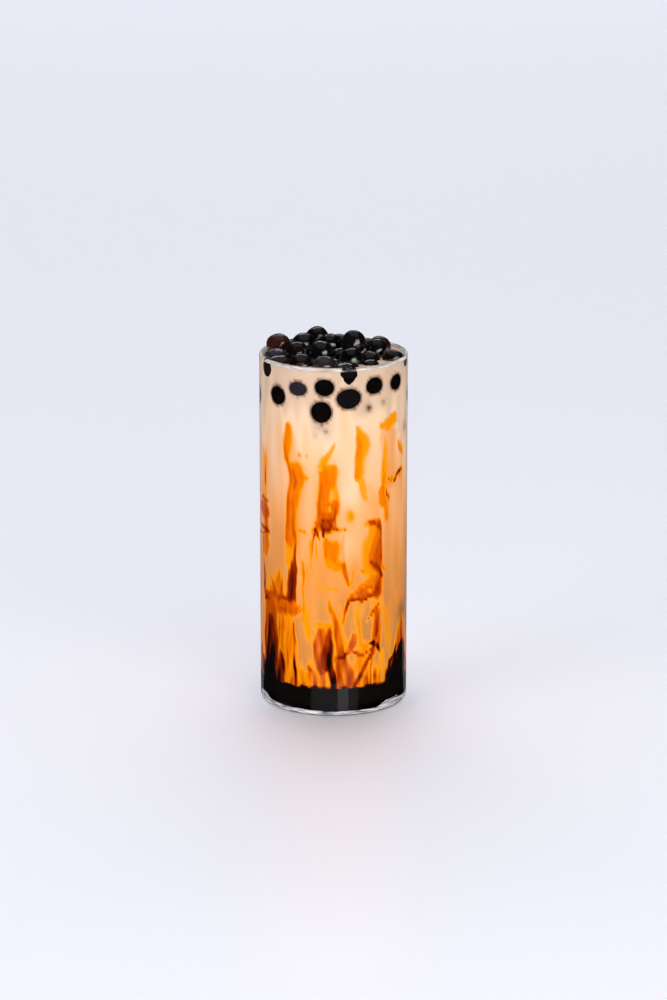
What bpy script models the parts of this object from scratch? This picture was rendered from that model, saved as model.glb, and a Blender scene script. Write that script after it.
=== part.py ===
"""A glass of brown sugar bubble tea, with tapioca pearls heaped above its brim.

The straight glass holds milk tea over a layer of dark syrup that climbs the wall in tongues.
Pearls float packed together at the top: some lie against the wall below the drink's level, and
the rest stand out of the brim as one heap. X is to the right, -Y is the front, +Z is up, and the
origin is at the middle of the foot.
"""

import math
import random

import bmesh
import bpy
from mathutils import Vector

MM = 0.001
GAP = 0.3 * MM  # kept between pieces that touch

# The glass: a plain tumbler with a round heel and lip
OUTER_RADIUS = 31 * MM
HEIGHT = 150 * MM
WALL = 2 * MM
BASE = 3 * MM
HEEL_ROUND = 2 * MM
CORNER_ROUND = 3 * MM
PUNT_RADIUS = 23 * MM
PUNT_DEPTH = 0.6 * MM
SIDES = 64
ROUND_STEPS = 3
INNER_RADIUS = OUTER_RADIUS - WALL
FILL_RADIUS = INNER_RADIUS - GAP

# The drink: its level, and the syrup's level away from the tongues
LEVEL = 148 * MM
SYRUP_LEVEL = 11.5 * MM
SYRUP_WAVE = 0.8 * MM
TONGUE_REACH = 11 * MM  # how far in from the wall a tongue still stands above the layer
# Each tongue: angle from the front towards +X and half width in degrees, and rise
TONGUES = [
    (-62, 12, 27 * MM),
    (-40, 9, 8 * MM),
    (72, 13, 18 * MM),
    (128, 11, 9 * MM),
    (190, 16, 21 * MM),
    (244, 10, 12 * MM),
]
LAYER_RADII = [0.26 * FILL_RADIUS, 0.6 * FILL_RADIUS, 0.76 * FILL_RADIUS, 0.9 * FILL_RADIUS]

# The pearls against the wall, below the level: distance along the wall from the front,
# height of the middle, width and height
WALL_PEARLS = [
    (-25.5 * MM, 136.0 * MM, 9.3 * MM, 9.2 * MM),
    (-15.0 * MM, 140.3 * MM, 8.8 * MM, 7.0 * MM),
    (-3.7 * MM, 141.6 * MM, 8.8 * MM, 8.4 * MM),
    (-5.0 * MM, 131.2 * MM, 9.3 * MM, 10.6 * MM),
    (6.2 * MM, 136.8 * MM, 10.9 * MM, 10.0 * MM),
    (17.5 * MM, 141.3 * MM, 8.7 * MM, 8.4 * MM),
    (30.0 * MM, 140.8 * MM, 8.4 * MM, 8.0 * MM),
]
BACK_WALL_PEARLS = 7
BACK_FROM, BACK_TO = 78, 290  # the stretch of wall they share, degrees from the front
WALL_PEARL_DEPTH = 0.76  # of its width: it lies pressed against the wall
WALL_PRESS = 0.5 * MM

# The heap: pearls that the front view shows, as x, y, height of the top above the rim,
# width and height
SEEN_PEARLS = [
    (-22.7, 7.4, 5.8, 9.4, 9.2),
    (-12.6, 3.0, 7.0, 10.6, 10.4),
    (-7.1, 11.5, 8.1, 9.8, 10.4),
    (-1.5, 4.4, 6.8, 10.2, 10.0),
    (8.4, 0.4, 9.1, 10.3, 10.8),
    (2.4, 13.2, 4.6, 9.8, 9.6),
    (18.6, 12.6, 3.6, 10.0, 9.8),
    (18.0, 2.5, 4.9, 9.4, 9.6),
    (-23.4, 0.4, 1.6, 9.8, 8.4),
    (-15.6, -4.6, 5.1, 10.2, 9.8),
    (-5.2, -5.6, 6.1, 10.9, 10.8),
    (-21.6, -9.8, 1.4, 10.0, 10.0),
    (-13.8, -14.4, 2.5, 11.0, 9.8),
    (-3.0, -19.4, 2.6, 10.4, 8.8),
    (5.9, -22.2, 1.2, 12.2, 9.0),
    (7.4, -11.6, 4.2, 10.4, 10.4),
    (14.9, -5.6, 1.5, 9.8, 9.6),
    (15.4, -14.2, -0.6, 8.8, 8.8),
    (24.2, -2.4, 1.2, 8.2, 8.2),
]
PEARL = 10.2
SOFTNESS = 0.94  # neighbours press into each other this much
CRUSH = 0.87  # and those below the others this much
SETTLE_ROUNDS = 120
# The rest of the rim's ring: how many pearls it holds, its radius, the top's height above the
# rim and the angle of the first
RIM_RING = (14, 23.4, 1.6, 16)
# Hollows between pearls are searched ring by ring for more that float up into them
HOLLOW_RINGS = [3.0, 7.5, 12.0, 16.5, 20.5, 23.4]
HOLLOW_STEP = 2.0
HIGHEST_TOP, TOP_STEP = 4.0, 0.5
STAND_OUT = 0.3  # how far such a pearl has to stand out of the core
FREE_DISTANCE = 8.0  # a place is free if no pearl's middle is this near
RISE = 0.6 * MM  # how far a pearl may be pushed up

# The heap's core, under the pearls: radius and height above the rim
CORE = [(0, -9), (14.5, -9), (21.5, -4), (23.2, -1.7), (18.5, -1.6), (13, -0.8), (6.5, 0), (0, 0.2)]
CORE_ROOM = 1.07  # size of the hollow for it in the drink, against its own
SEED = 7


def clear_scene():
    for thing in list(bpy.data.objects):
        bpy.data.objects.remove(thing, do_unlink=True)


def finish(name, colour, roughness, transmission=0.0):
    material = bpy.data.materials.new(name)
    material.use_nodes = True
    shader = material.node_tree.nodes["Principled BSDF"]
    shader.inputs["Base Color"].default_value = (*colour, 1)
    shader.inputs["Roughness"].default_value = roughness
    shader.inputs["Metallic"].default_value = 0.0
    shader.inputs["Transmission Weight"].default_value = transmission
    return material


def add_object(name, bm, material, smooth_angle=35):
    mesh = bpy.data.meshes.new(name)
    bm.to_mesh(mesh)
    bm.free()
    mesh.materials.append(material)
    mesh.shade_smooth()
    mesh.set_sharp_from_angle(angle=math.radians(smooth_angle))
    thing = bpy.data.objects.new(name, mesh)
    bpy.context.scene.collection.objects.link(thing)
    return thing


def at_wall(angle, radius, height):
    """The point at an angle from the front, counted towards +X."""
    return Vector((radius * math.sin(angle), -radius * math.cos(angle), height))


def turned(profile_at):
    """A closed body from a profile at each angle, which runs from the axis out and back to it."""
    bm = bmesh.new()
    angles = [2 * math.pi * step / SIDES for step in range(SIDES)]
    profiles = [profile_at(angle) for angle in angles]
    first, last = (bm.verts.new(at_wall(0, 0, profiles[0][end][1])) for end in (0, -1))
    rings = [
        [bm.verts.new(at_wall(angle, *point)) for point in profile[1:-1]]
        for angle, profile in zip(angles, profiles)
    ]
    radii = [point[0] for point in profiles[0][1:-1]]
    for side in range(SIDES):
        here, there = rings[side], rings[(side + 1) % SIDES]
        bm.faces.new((first, here[0], there[0]))
        bm.faces.new((last, there[-1], here[-1]))
        for step in range(len(here) - 1):
            a, b, c, d = here[step], there[step], there[step + 1], here[step + 1]
            # The diagonal always runs from the inner point here to the outer one there, so that
            # the faces of two layers that meet lie alike
            inner_first = radii[step] < radii[step + 1]
            pair = ((a, c, b), (a, d, c)) if inner_first else ((b, a, d), (b, d, c))
            for corners in pair:
                bm.faces.new(corners)
    bmesh.ops.recalc_face_normals(bm, faces=bm.faces)
    return bm


def arc(centre, radius, start, end, steps=ROUND_STEPS):
    """Points of a round edge of a profile, from one angle in degrees to another."""
    turns = [math.radians(start + (end - start) * step / steps) for step in range(steps + 1)]
    return [(centre[0] + radius * math.cos(t), centre[1] + radius * math.sin(t)) for t in turns]


def make_glass():
    lip = WALL / 2
    corner = (INNER_RADIUS - CORNER_ROUND, BASE + CORNER_ROUND)
    profile = [(0, PUNT_DEPTH), (PUNT_RADIUS - PUNT_DEPTH, PUNT_DEPTH), (PUNT_RADIUS, 0)]
    profile += arc((OUTER_RADIUS - HEEL_ROUND, HEEL_ROUND), HEEL_ROUND, -90, 0)
    profile += arc((OUTER_RADIUS - lip, HEIGHT - lip), lip, 0, 180, 2 * ROUND_STEPS)
    profile += arc(corner, CORNER_ROUND, 0, -90)
    profile += [(0, BASE)]
    clear = finish("clear_glass", (0.95, 0.97, 0.98), 0.02, transmission=1.0)
    return add_object("glass", turned(lambda angle: profile), clear)


def syrup_top(angle, radius):
    """Height of the syrup's surface: a gently waving layer with tongues up the wall."""
    height = SYRUP_LEVEL + SYRUP_WAVE * math.sin(3 * angle + 1) * radius / FILL_RADIUS
    near_wall = max(0.0, 1 - (FILL_RADIUS - radius) / TONGUE_REACH) ** 2
    for middle, half_width, rise in TONGUES:
        off = (angle - math.radians(middle) + math.pi) % (2 * math.pi) - math.pi
        height += rise * near_wall * math.exp(-((off / math.radians(half_width)) ** 2))
    return height


def milk_bottom(angle, radius):
    """The syrup's surface, raised so that the gap square to it stays the same on a slope."""
    step = 0.2 * MM
    inward = syrup_top(angle, radius) - syrup_top(angle, radius - step)
    turn = step / max(radius, step)
    round_it = syrup_top(angle + turn, radius) - syrup_top(angle, radius)
    slope = math.hypot(inward / step, round_it / step)
    return syrup_top(angle, radius) + GAP * math.hypot(1, slope)


def make_syrup():
    inner_corner = (INNER_RADIUS - CORNER_ROUND, BASE + CORNER_ROUND)
    below = [(0, BASE + GAP)] + arc(inner_corner, CORNER_ROUND - GAP, -90, 0)

    def profile_at(angle):
        top = [(r, syrup_top(angle, r)) for r in [FILL_RADIUS, *reversed(LAYER_RADII)]]
        return below + top + [(0, SYRUP_LEVEL)]

    dark = finish("brown_sugar_syrup", (0.012, 0.006, 0.003), 0.2)
    return add_object("syrup", turned(profile_at), dark)


def make_milk_tea():
    def profile_at(angle):
        low = [(r, milk_bottom(angle, r)) for r in [*LAYER_RADII, FILL_RADIUS]]
        return [(0, SYRUP_LEVEL + GAP)] + low + [(FILL_RADIUS, LEVEL), (0, LEVEL)]

    cream = finish("milk_tea", (0.86, 0.58, 0.33), 0.35)
    return add_object("milk_tea", turned(profile_at), cream)


def wall_pearl_places():
    """Angle, height, width and tallness of each pearl below the level, the seen ones first."""
    places = [(x / INNER_RADIUS, z, width, tall) for x, z, width, tall in WALL_PEARLS]
    draw = random.Random(SEED)
    for index in range(BACK_WALL_PEARLS):
        share = (index + 0.5 + draw.uniform(-0.15, 0.15)) / BACK_WALL_PEARLS
        height = (140.0 if index % 2 else 133.5) + draw.uniform(-1.2, 1.0)
        width, tall = draw.uniform(8.6, 10), draw.uniform(8.2, 9.6)
        angle = math.radians(BACK_FROM + share * (BACK_TO - BACK_FROM))
        places.append((angle, height * MM, width * MM, tall * MM))
    return places


def wall_pearl_centre(angle, height, width):
    return at_wall(angle, FILL_RADIUS + WALL_PRESS - WALL_PEARL_DEPTH * width / 2, height)


def body_of(x, y, top, width, tall):
    """A pearl of the heap, from millimetres: its middle, and its size across, in and up."""
    middle = Vector((x, y, HEIGHT / MM + top - tall / 2)) * MM
    return middle, (width * MM, width * MM, tall * MM)


def is_free(spot, taken):
    return all((spot[0] - middle).length > FREE_DISTANCE * MM for middle, _ in taken)


def rim_pearls(taken):
    """Pearls for the places of the rim's ring that none has taken yet."""
    count, radius, top, first = RIM_RING
    spots = [at_wall(math.radians(first + 360 * n / count), radius, top) for n in range(count)]
    pearls = [body_of(*spot, PEARL, PEARL) for spot in spots]
    return [one for one in pearls if is_free(one, taken)]


def core_top(radius):
    """Height of the core above the rim, at a distance from its middle."""
    upper = CORE[CORE.index(max(CORE)):]
    for (outer, low), (inner, high) in zip(upper, upper[1:]):
        if radius >= inner:
            return high + (low - high) * (radius - inner) / (outer - inner)
    return upper[-1][1]


def stands_out(place, sizes):
    """Whether a pearl's top is above the core under it."""
    top = (place.z + sizes[2] / 2 - HEIGHT) / MM
    return top > core_top(math.hypot(place.x, place.y) / MM)


def hollow_pearls(taken):
    """Pearls that float up into the hollows between the others, if they still show there."""
    pearls = []
    for radius in HOLLOW_RINGS:
        count = int(2 * math.pi * radius / HOLLOW_STEP)
        for index in range(count):
            top = HIGHEST_TOP
            while top > core_top(radius) + STAND_OUT:
                spot = body_of(*at_wall(2 * math.pi * index / count, radius, top), PEARL, PEARL)
                if is_free(spot, taken + pearls):
                    pearls.append(spot)
                top -= TOP_STEP
    return pearls


def reach(toward, place, sizes):
    """How far a pearl of the width, depth and height given reaches from its middle."""
    out = Vector((place.x, place.y, 0)).normalized()
    along = Vector((out.y, -out.x, 0))
    parts = (toward.dot(along), toward.dot(out), toward.z)
    return 0.5 / math.sqrt(sum((part / size) ** 2 for part, size in zip(parts, sizes)))


def push_from(pearl_here, other, press, extra, share):
    """Moves a pearl away from another until they only press into each other as allowed."""
    (place, sizes), (far, far_sizes) = pearl_here, other
    toward = (far - place).normalized()
    apart = press * (reach(toward, place, sizes) + reach(toward, far, far_sizes)) + extra
    short = apart - (far - place).length
    if short > 0:
        place -= toward * short * share


def settle(moving, still, wall, press):
    """Lets pearls press apart until neighbours only dent each other, inside the glass.

    None of them rises above where it began. Those still and those against the wall don't move.
    """
    highest = [place.z + RISE for place, _ in moving]
    for _ in range(SETTLE_ROUNDS):
        for one, limit in zip(moving, highest):
            for other in moving:
                if other is not one:
                    push_from(one, other, press, 0, 0.25)
            for other in still:
                push_from(one, other, press, 0, 0.5)
            for other in wall:
                push_from(one, other, 1, 2 * GAP, 1)
            place, sizes = one
            room = FILL_RADIUS - sizes[0] / 2
            across = max(math.hypot(place.x, place.y), room)
            place.x, place.y = place.x * room / across, place.y * room / across
            place.z = min(place.z, limit)


def heap_places(wall_places):
    """Middle, width and height of each pearl of the heap."""
    wall = [
        (wall_pearl_centre(angle, height, width), (width, WALL_PEARL_DEPTH * width, tall))
        for angle, height, width, tall in wall_places
    ]
    upper = [body_of(*pearl) for pearl in SEEN_PEARLS]
    upper += rim_pearls(upper)
    settle(upper, [], wall, SOFTNESS)
    lower = hollow_pearls(upper)
    settle(lower, upper, wall, CRUSH)
    shown = upper + [one for one in lower if stands_out(*one)]
    return [(place, sizes[0], sizes[2]) for place, sizes in shown]


def pearl(centre, angle, width, depth, tall, held=True):
    """A soft ball of few faces, turned to an angle round the glass and flat where it meets it."""
    bm = bmesh.new()
    bmesh.ops.create_icosphere(bm, subdivisions=2, radius=0.5)
    out = at_wall(angle, 1, 0)
    along = Vector((out.y, -out.x, 0))
    for vert in bm.verts:
        x, y, z = vert.co
        vert.co = centre + along * x * width + out * y * depth + Vector((0, 0, z * tall))
        across = math.hypot(vert.co.x, vert.co.y)
        if held and across > FILL_RADIUS:
            vert.co.x *= FILL_RADIUS / across
            vert.co.y *= FILL_RADIUS / across
    return bm


def make_wall_pearls(places):
    dark = finish("tapioca_pearl", (0.010, 0.006, 0.005), 0.15)
    for number, (angle, height, width, tall) in enumerate(places, 1):
        centre = wall_pearl_centre(angle, height, width)
        bm = pearl(centre, angle, width, WALL_PEARL_DEPTH * width, tall)
        add_object(f"wall_pearl_{number:02d}", bm, dark)


def join(thing, others, operation, solver="EXACT"):
    """Joins a group of objects to one, or cuts them all from it, and removes them."""
    group = bpy.data.collections.new("group")
    bpy.context.scene.collection.children.link(group)
    for other in others:
        bpy.context.scene.collection.objects.unlink(other)
        group.objects.link(other)
    modifier = thing.modifiers.new("join", "BOOLEAN")
    modifier.operation = operation
    modifier.operand_type = "COLLECTION"
    modifier.collection = group
    modifier.solver = solver
    bpy.context.view_layer.objects.active = thing
    bpy.ops.object.modifier_apply(modifier=modifier.name)
    for other in list(group.objects):
        bpy.data.objects.remove(other, do_unlink=True)
    bpy.data.collections.remove(group)


def keep_largest(thing):
    """Drops loose scraps and the skins of hollows, and keeps the outer body."""
    bm = bmesh.new()
    bm.from_mesh(thing.data)
    left, bodies = set(bm.verts), []
    while left:
        body, edge = set(), [left.pop()]
        while edge:
            vert = edge.pop()
            body.add(vert)
            near = {link.other_vert(vert) for link in vert.link_edges} & left
            left -= near
            edge.extend(near)
        bodies.append(body)
    largest = max(bodies, key=lambda body: max(v.co.x for v in body) - min(v.co.x for v in body))
    scraps = [vert for body in bodies if body is not largest for vert in body]
    bmesh.ops.delete(bm, geom=scraps, context="VERTS")
    bm.to_mesh(thing.data)
    bm.free()


def make_core(name, material, scale=1.0):
    """The heap's core, or with a scale the room for it, grown from its middle."""
    middle = (CORE[0][1] + CORE[-1][1]) / 2
    profile = [
        (radius * scale * MM, HEIGHT + (middle + (height - middle) * scale) * MM)
        for radius, height in CORE
    ]
    return add_object(name, turned(lambda angle: profile), material)


def make_heap(places):
    dark = finish("heaped_pearl", (0.010, 0.006, 0.005), 0.15)
    heap = make_core("pearl_heap", dark)
    balls = []
    for number, (centre, width, tall) in enumerate(places):
        angle = math.atan2(centre.x, -centre.y)
        bm = pearl(centre, angle, width, width, tall)
        balls.append(add_object(f"ball_{number}", bm, dark))
    join(heap, balls, "UNION")
    keep_largest(heap)


def cut_round_pearls(milk_tea, heap_pearls, wall_pearls):
    """Leaves room in the drink for the heap and for the pearls against the wall."""
    plain = milk_tea.data.materials[0]
    cutters = [make_core("cutter", plain, CORE_ROOM)]
    for centre, width, tall in heap_pearls:
        angle = math.atan2(centre.x, -centre.y)
        room = pearl(centre, angle, width + 2 * GAP, width + 2 * GAP, tall + 2 * GAP, held=False)
        cutters.append(add_object("cutter", room, plain))
    for angle, height, width, tall in wall_pearls:
        centre = wall_pearl_centre(angle, height, width)
        depth = WALL_PEARL_DEPTH * width + 2 * GAP
        room = pearl(centre, angle, width + 2 * GAP, depth, tall + 2 * GAP, held=False)
        cutters.append(add_object("cutter", room, plain))
    join(milk_tea, cutters, "DIFFERENCE")
    keep_largest(milk_tea)


def main():
    clear_scene()
    make_glass()
    make_syrup()
    milk_tea = make_milk_tea()
    wall_pearls = wall_pearl_places()
    heap_pearls = heap_places(wall_pearls)
    make_wall_pearls(wall_pearls)
    make_heap(heap_pearls)
    cut_round_pearls(milk_tea, heap_pearls, wall_pearls)


main()
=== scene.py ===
import math
import random

import bpy
import numpy as np
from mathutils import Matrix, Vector, noise


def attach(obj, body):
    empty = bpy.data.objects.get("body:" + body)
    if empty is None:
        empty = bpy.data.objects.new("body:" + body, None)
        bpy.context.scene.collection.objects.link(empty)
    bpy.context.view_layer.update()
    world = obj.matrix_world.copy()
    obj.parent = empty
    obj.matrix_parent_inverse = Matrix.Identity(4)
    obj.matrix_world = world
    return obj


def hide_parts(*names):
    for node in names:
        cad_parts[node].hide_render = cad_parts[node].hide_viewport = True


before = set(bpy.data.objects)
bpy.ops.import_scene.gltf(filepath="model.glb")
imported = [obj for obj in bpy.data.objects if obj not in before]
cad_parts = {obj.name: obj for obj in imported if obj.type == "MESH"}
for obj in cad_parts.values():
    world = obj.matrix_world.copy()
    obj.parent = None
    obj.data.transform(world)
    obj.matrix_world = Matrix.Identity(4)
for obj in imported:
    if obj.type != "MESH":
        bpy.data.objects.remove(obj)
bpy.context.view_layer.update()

MM = 0.001


# The view: a long lens at a guest's height above the table, looking down at the glass by 15
# degrees. The table is one sheet of pale satin card that runs on out of sight.
CAMERA_BACK, CAMERA_PITCH = 1.6112, math.radians(15.22)
AIM_HEIGHT = 0.0859
bpy.ops.object.camera_add(
    location=(
        0,
        -CAMERA_BACK * math.cos(CAMERA_PITCH),
        AIM_HEIGHT + CAMERA_BACK * math.sin(CAMERA_PITCH),
    ),
    rotation=(math.pi / 2 - CAMERA_PITCH, 0, 0),
)
camera = bpy.context.object
camera.data.lens, camera.data.sensor_width = 137.58, 36
camera.data.clip_end = 60
bpy.context.scene.camera = camera
bpy.context.scene.view_settings.view_transform = "Standard"


def colour(code):
    """An sRGB hex colour as the linear values that a socket takes."""
    parts = [int(code[start:start + 2], 16) / 255 for start in (0, 2, 4)]
    return (*[p / 12.92 if p <= 0.04045 else ((p + 0.055) / 1.055) ** 2.4 for p in parts], 1)


def new_finish(name):
    """A material with nothing in it but its output."""
    material = bpy.data.materials.new(name)
    material.use_nodes = True
    material.node_tree.nodes.clear()
    material.node_tree.nodes.new("ShaderNodeOutputMaterial")
    return material


def add_node(material, kind, settings=(), sockets=()):
    """Adds a node, with its settings, and its sockets filled with values or linked to outputs."""
    node = material.node_tree.nodes.new("ShaderNode" + kind)
    for name, value in dict(settings).items():
        if name == "stops":
            ramp = node.color_ramp
            while len(ramp.elements) < len(value):
                ramp.elements.new(0.5)
            for element, (place, tint) in zip(ramp.elements, value):
                element.position, element.color = place, colour(tint)
        else:
            setattr(node, name, value)
    for name, value in dict(sockets).items():
        if isinstance(value, bpy.types.NodeSocket):
            material.node_tree.links.new(value, node.inputs[name])
        else:
            node.inputs[name].default_value = value
    return node


def finish_with(material, shader):
    """Links a shader to the material's output."""
    material.node_tree.links.new(
        shader, material.node_tree.nodes["Material Output"].inputs["Surface"]
    )


bpy.ops.object.select_all(action="DESELECT")
bpy.ops.mesh.primitive_plane_add(size=16)
table = bpy.context.object
table.name = "table"
card = new_finish("pale satin card")
card_grain = add_node(card, "TexNoise", sockets={
    "Vector": add_node(card, "TexCoord").outputs["Object"], "Scale": 900, "Detail": 3})
finish_with(card, add_node(card, "BsdfPrincipled", sockets={
    "Base Color": colour("EAEBEE"), "Roughness": 0.38, "Specular IOR Level": 0.3,
    "Normal": add_node(card, "Bump", sockets={
        "Height": card_grain.outputs["Fac"], "Strength": 0.04, "Distance": 0.0001,
    }).outputs["Normal"],
}).outputs["BSDF"])
table.data.materials.append(card)
table.visible_glossy = False  # as through a polariser: the card doesn't grey the dark syrup


# The light: one wide softbox in front to the right, a fill to the left, a soft ceiling and a pale
# lit wall far behind with a brighter strip across its top. Wet pearls and glass show only the
# softbox, the middle of the ceiling and the wall, and not the fill.
def add_softbox(name, place, size, power, tint, shines):
    """A rectangular lamp that faces the glass; shines says whether it shows in what is glossy."""
    bpy.ops.object.light_add(type="AREA", location=place)
    lamp = bpy.context.object
    lamp.name = name
    lamp.data.shape = "RECTANGLE"
    lamp.data.size, lamp.data.size_y = size
    lamp.data.energy = power
    lamp.data.color = colour(tint)[:3]
    aim = Vector((0, 0, 0.08)) - Vector(place)
    lamp.rotation_euler = aim.to_track_quat("-Z", "Y").to_euler()
    lamp.visible_glossy = shines
    return lamp


add_softbox("key softbox", (0.84, -1.54, 0.50), (1.5, 0.9), 18.5, "FFFCF8", True)
add_softbox("left fill", (-1.55, -1.05, 0.50), (1.3, 0.9), 14, "FBFAFF", False)
add_softbox("ceiling", (0, 2.2, 4.0), (9, 9), 212, "F6F7FF", False)
add_softbox("dim ceiling", (0, 0.2, 2.4), (2.6, 2.6), 4.0, "F6F7FF", True)
back_wash = add_softbox("back wash", (0, 4.5, 1.5), (9, 3.4), 180, "F4F5FF", False)
back_wall = add_softbox("back wall", (-0.3, 4.5, 1.3), (5.6, 2.4), 60, "F4F5FF", True)
back_strip = add_softbox("back strip", (-0.3, 4.5, 3.3), (4.4, 1.2), 58, "F4F5FF", True)
back_sheen = add_softbox("back sheen", (0, 4.5, -1.3), (9, 1.0), 6, "F4F5FF", True)
for lamp in (back_wash, back_wall, back_strip, back_sheen):
    lamp.rotation_euler = (math.radians(90), 0, math.radians(180))
# The table is left out of reflections, so cards below its level stand for how it gleams in them
add_softbox("sheen on the table", (0.42, -1.6, -0.68), (0.5, 0.26), 0.30, "EEEEFA", True)
add_softbox("dim sheen", (0.05, -1.7, -0.74), (2.6, 0.4), 0.8, "F4F6FF", True)
world = bpy.data.worlds.new("studio")
world.use_nodes = True
world.node_tree.nodes["Background"].inputs["Color"].default_value = colour("F0F1FB")
world.node_tree.nodes["Background"].inputs["Strength"].default_value = 0.27
world.cycles_visibility.glossy = False
bpy.context.scene.world = world


# The glass: a straight tumbler of clear soda-lime glass, pressed, with a round heel, a shallow
# hollow under the foot and a lip melted round in the flame.
HEIGHT, OUTER_RADIUS, WALL, BASE = 150 * MM, 31 * MM, 2 * MM, 3 * MM
INNER_RADIUS = OUTER_RADIUS - WALL
HEEL_ROUND, CORNER_ROUND = 2 * MM, 3 * MM
PUNT_RADIUS, PUNT_DEPTH = 23 * MM, 0.6 * MM
GLASS_SIDES = 192


def arc(middle, radius, start, end, steps):
    """Points of a round edge of a profile, from one angle in degrees to another."""
    turns = [math.radians(start + (end - start) * step / steps) for step in range(steps + 1)]
    return [(middle[0] + radius * math.cos(t), middle[1] + radius * math.sin(t)) for t in turns]


def turn_profile(name, profile, sides):
    """A closed round body: a small ring, extruded along a profile, with both ends merged."""
    bpy.ops.object.select_all(action="DESELECT")
    first_radius, first_height = profile[0]
    bpy.ops.mesh.primitive_circle_add(
        vertices=sides, radius=first_radius, fill_type="NOTHING", location=(0, 0, first_height))
    piece = bpy.context.object
    piece.name = name
    bpy.ops.object.transform_apply(location=True, rotation=True, scale=True)
    bpy.ops.object.mode_set(mode="EDIT")
    bpy.ops.mesh.select_all(action="SELECT")
    for (radius, height), (next_radius, next_height) in zip(profile, profile[1:]):
        bpy.ops.mesh.extrude_region_move()
        grow = next_radius / radius
        bpy.ops.transform.resize(value=(grow, grow, 1), center_override=(0, 0, height))
        bpy.ops.transform.translate(value=(0, 0, next_height - height))
    bpy.ops.mesh.merge(type="CENTER")
    bpy.ops.object.mode_set(mode="OBJECT")
    for vert in piece.data.vertices:
        vert.select = vert.index < sides
    bpy.ops.object.mode_set(mode="EDIT")
    bpy.ops.mesh.merge(type="CENTER")
    bpy.ops.mesh.select_all(action="SELECT")
    bpy.ops.mesh.normals_make_consistent(inside=False)
    bpy.ops.object.mode_set(mode="OBJECT")
    bpy.ops.object.shade_smooth_by_angle(angle=math.radians(40))
    return piece


lip = WALL / 2
glass_profile = [
    (2 * MM, PUNT_DEPTH), (12 * MM, PUNT_DEPTH * 0.97), (19 * MM, PUNT_DEPTH * 0.8),
    (PUNT_RADIUS - PUNT_DEPTH, PUNT_DEPTH * 0.35), (PUNT_RADIUS, 0),
]
glass_profile += arc((OUTER_RADIUS - HEEL_ROUND, HEEL_ROUND), HEEL_ROUND, -90, 0, 10)
glass_profile += [(OUTER_RADIUS, HEIGHT * share) for share in (0.1, 0.3, 0.5, 0.7, 0.9)]
glass_profile += arc((OUTER_RADIUS - lip, HEIGHT - lip), lip, 0, 180, 16)
glass_profile += [(INNER_RADIUS, HEIGHT * share) for share in (0.9, 0.7, 0.5, 0.3, 0.1)]
glass_profile += arc((INNER_RADIUS - CORNER_ROUND, BASE + CORNER_ROUND), CORNER_ROUND, 0, -90, 10)
glass_profile += [(14 * MM, BASE), (2 * MM, BASE)]
glass = turn_profile("tumbler", glass_profile, GLASS_SIDES)

soda_glass = new_finish("clear soda-lime glass, fire polished")
glass_waves = add_node(soda_glass, "TexNoise", sockets={
    "Vector": add_node(soda_glass, "TexCoord").outputs["Object"], "Scale": 1 / 0.022, "Detail": 1})
clear = add_node(soda_glass, "BsdfPrincipled", sockets={
    "Base Color": colour("FCFDFD"), "Roughness": 0.0, "IOR": 1.5, "Transmission Weight": 1.0,
    "Normal": add_node(soda_glass, "Bump", sockets={
        "Height": glass_waves.outputs["Fac"], "Strength": 0.25, "Distance": 0.0002,
    }).outputs["Normal"],
})
# Light from a lamp passes as if the glass weren't there, so the drink behind it is lit evenly
passes = add_node(soda_glass, "MixShader")
soda_glass.node_tree.links.new(
    add_node(soda_glass, "LightPath").outputs["Is Shadow Ray"], passes.inputs[0])
soda_glass.node_tree.links.new(clear.outputs["BSDF"], passes.inputs[1])
soda_glass.node_tree.links.new(
    add_node(soda_glass, "BsdfTransparent").outputs["BSDF"], passes.inputs[2])
finish_with(soda_glass, passes.outputs["Shader"])
glass.data.materials.append(soda_glass)
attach(glass, "root")
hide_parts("glass")


# The gleams in the thick edges are painted highlights: pale bands inside the glass, painted with the light
# from the table that the round lip and the round heel gather and lead along inside the glass, broken by dark
# streaks where its surface waves.
def gleam_band(name, radius, low, top_at, thickness):
    """A thin pale band inside the glass, a painted highlight, from one height up to another that changes
    round it.
    """
    bpy.ops.object.select_all(action="DESELECT")
    bpy.ops.mesh.primitive_torus_add(
        major_radius=radius, minor_radius=1 * MM, major_segments=360, minor_segments=12)
    band = bpy.context.object
    band.name = name
    for vert in band.data.vertices:
        angle = math.atan2(vert.co.x, -vert.co.y)
        here = math.hypot(vert.co.x, vert.co.y)
        width = radius + (here - radius) / MM * thickness / 2
        vert.co.x, vert.co.y = vert.co.x * width / here, vert.co.y * width / here
        vert.co.z = low + (top_at(angle) - low) * (vert.co.z / MM + 1) / 2
    bpy.ops.object.shade_smooth()
    return band


# Patches where the heel's gleam stands higher: distance along the wall from the front, half width
# and rise, in mm
HEEL_PATCHES = [(27.0, 6.0, 1.7), (-37, 5, 1.6), (80, 8, 1.8), (-72, 9, 2.0)]


def heel_gleam_top(angle):
    """Low at the front, higher where the heel turns away, with a lens-like patch on the right."""
    s = angle * INNER_RADIUS / MM
    place = Vector((math.sin(angle), -math.cos(angle), 0))
    height = 2.0 + 1.3 * min(1, abs(s) / 36) ** 2 + 0.45 * noise.fractal(place * 7, 0.7, 2.0, 3)
    for middle, half, rise in HEEL_PATCHES:
        height += rise * math.exp(-(((s - middle) / half) ** 4))
    return max(height, 1.3) * MM


LIP_GLEAM_LOW = HEIGHT - 1.6 * MM
# The black pearls right behind the lip: distance along the wall from the front and half width
BEHIND_LIP = [(6.6, 3.8), (-37.5, 3.5)]


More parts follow.
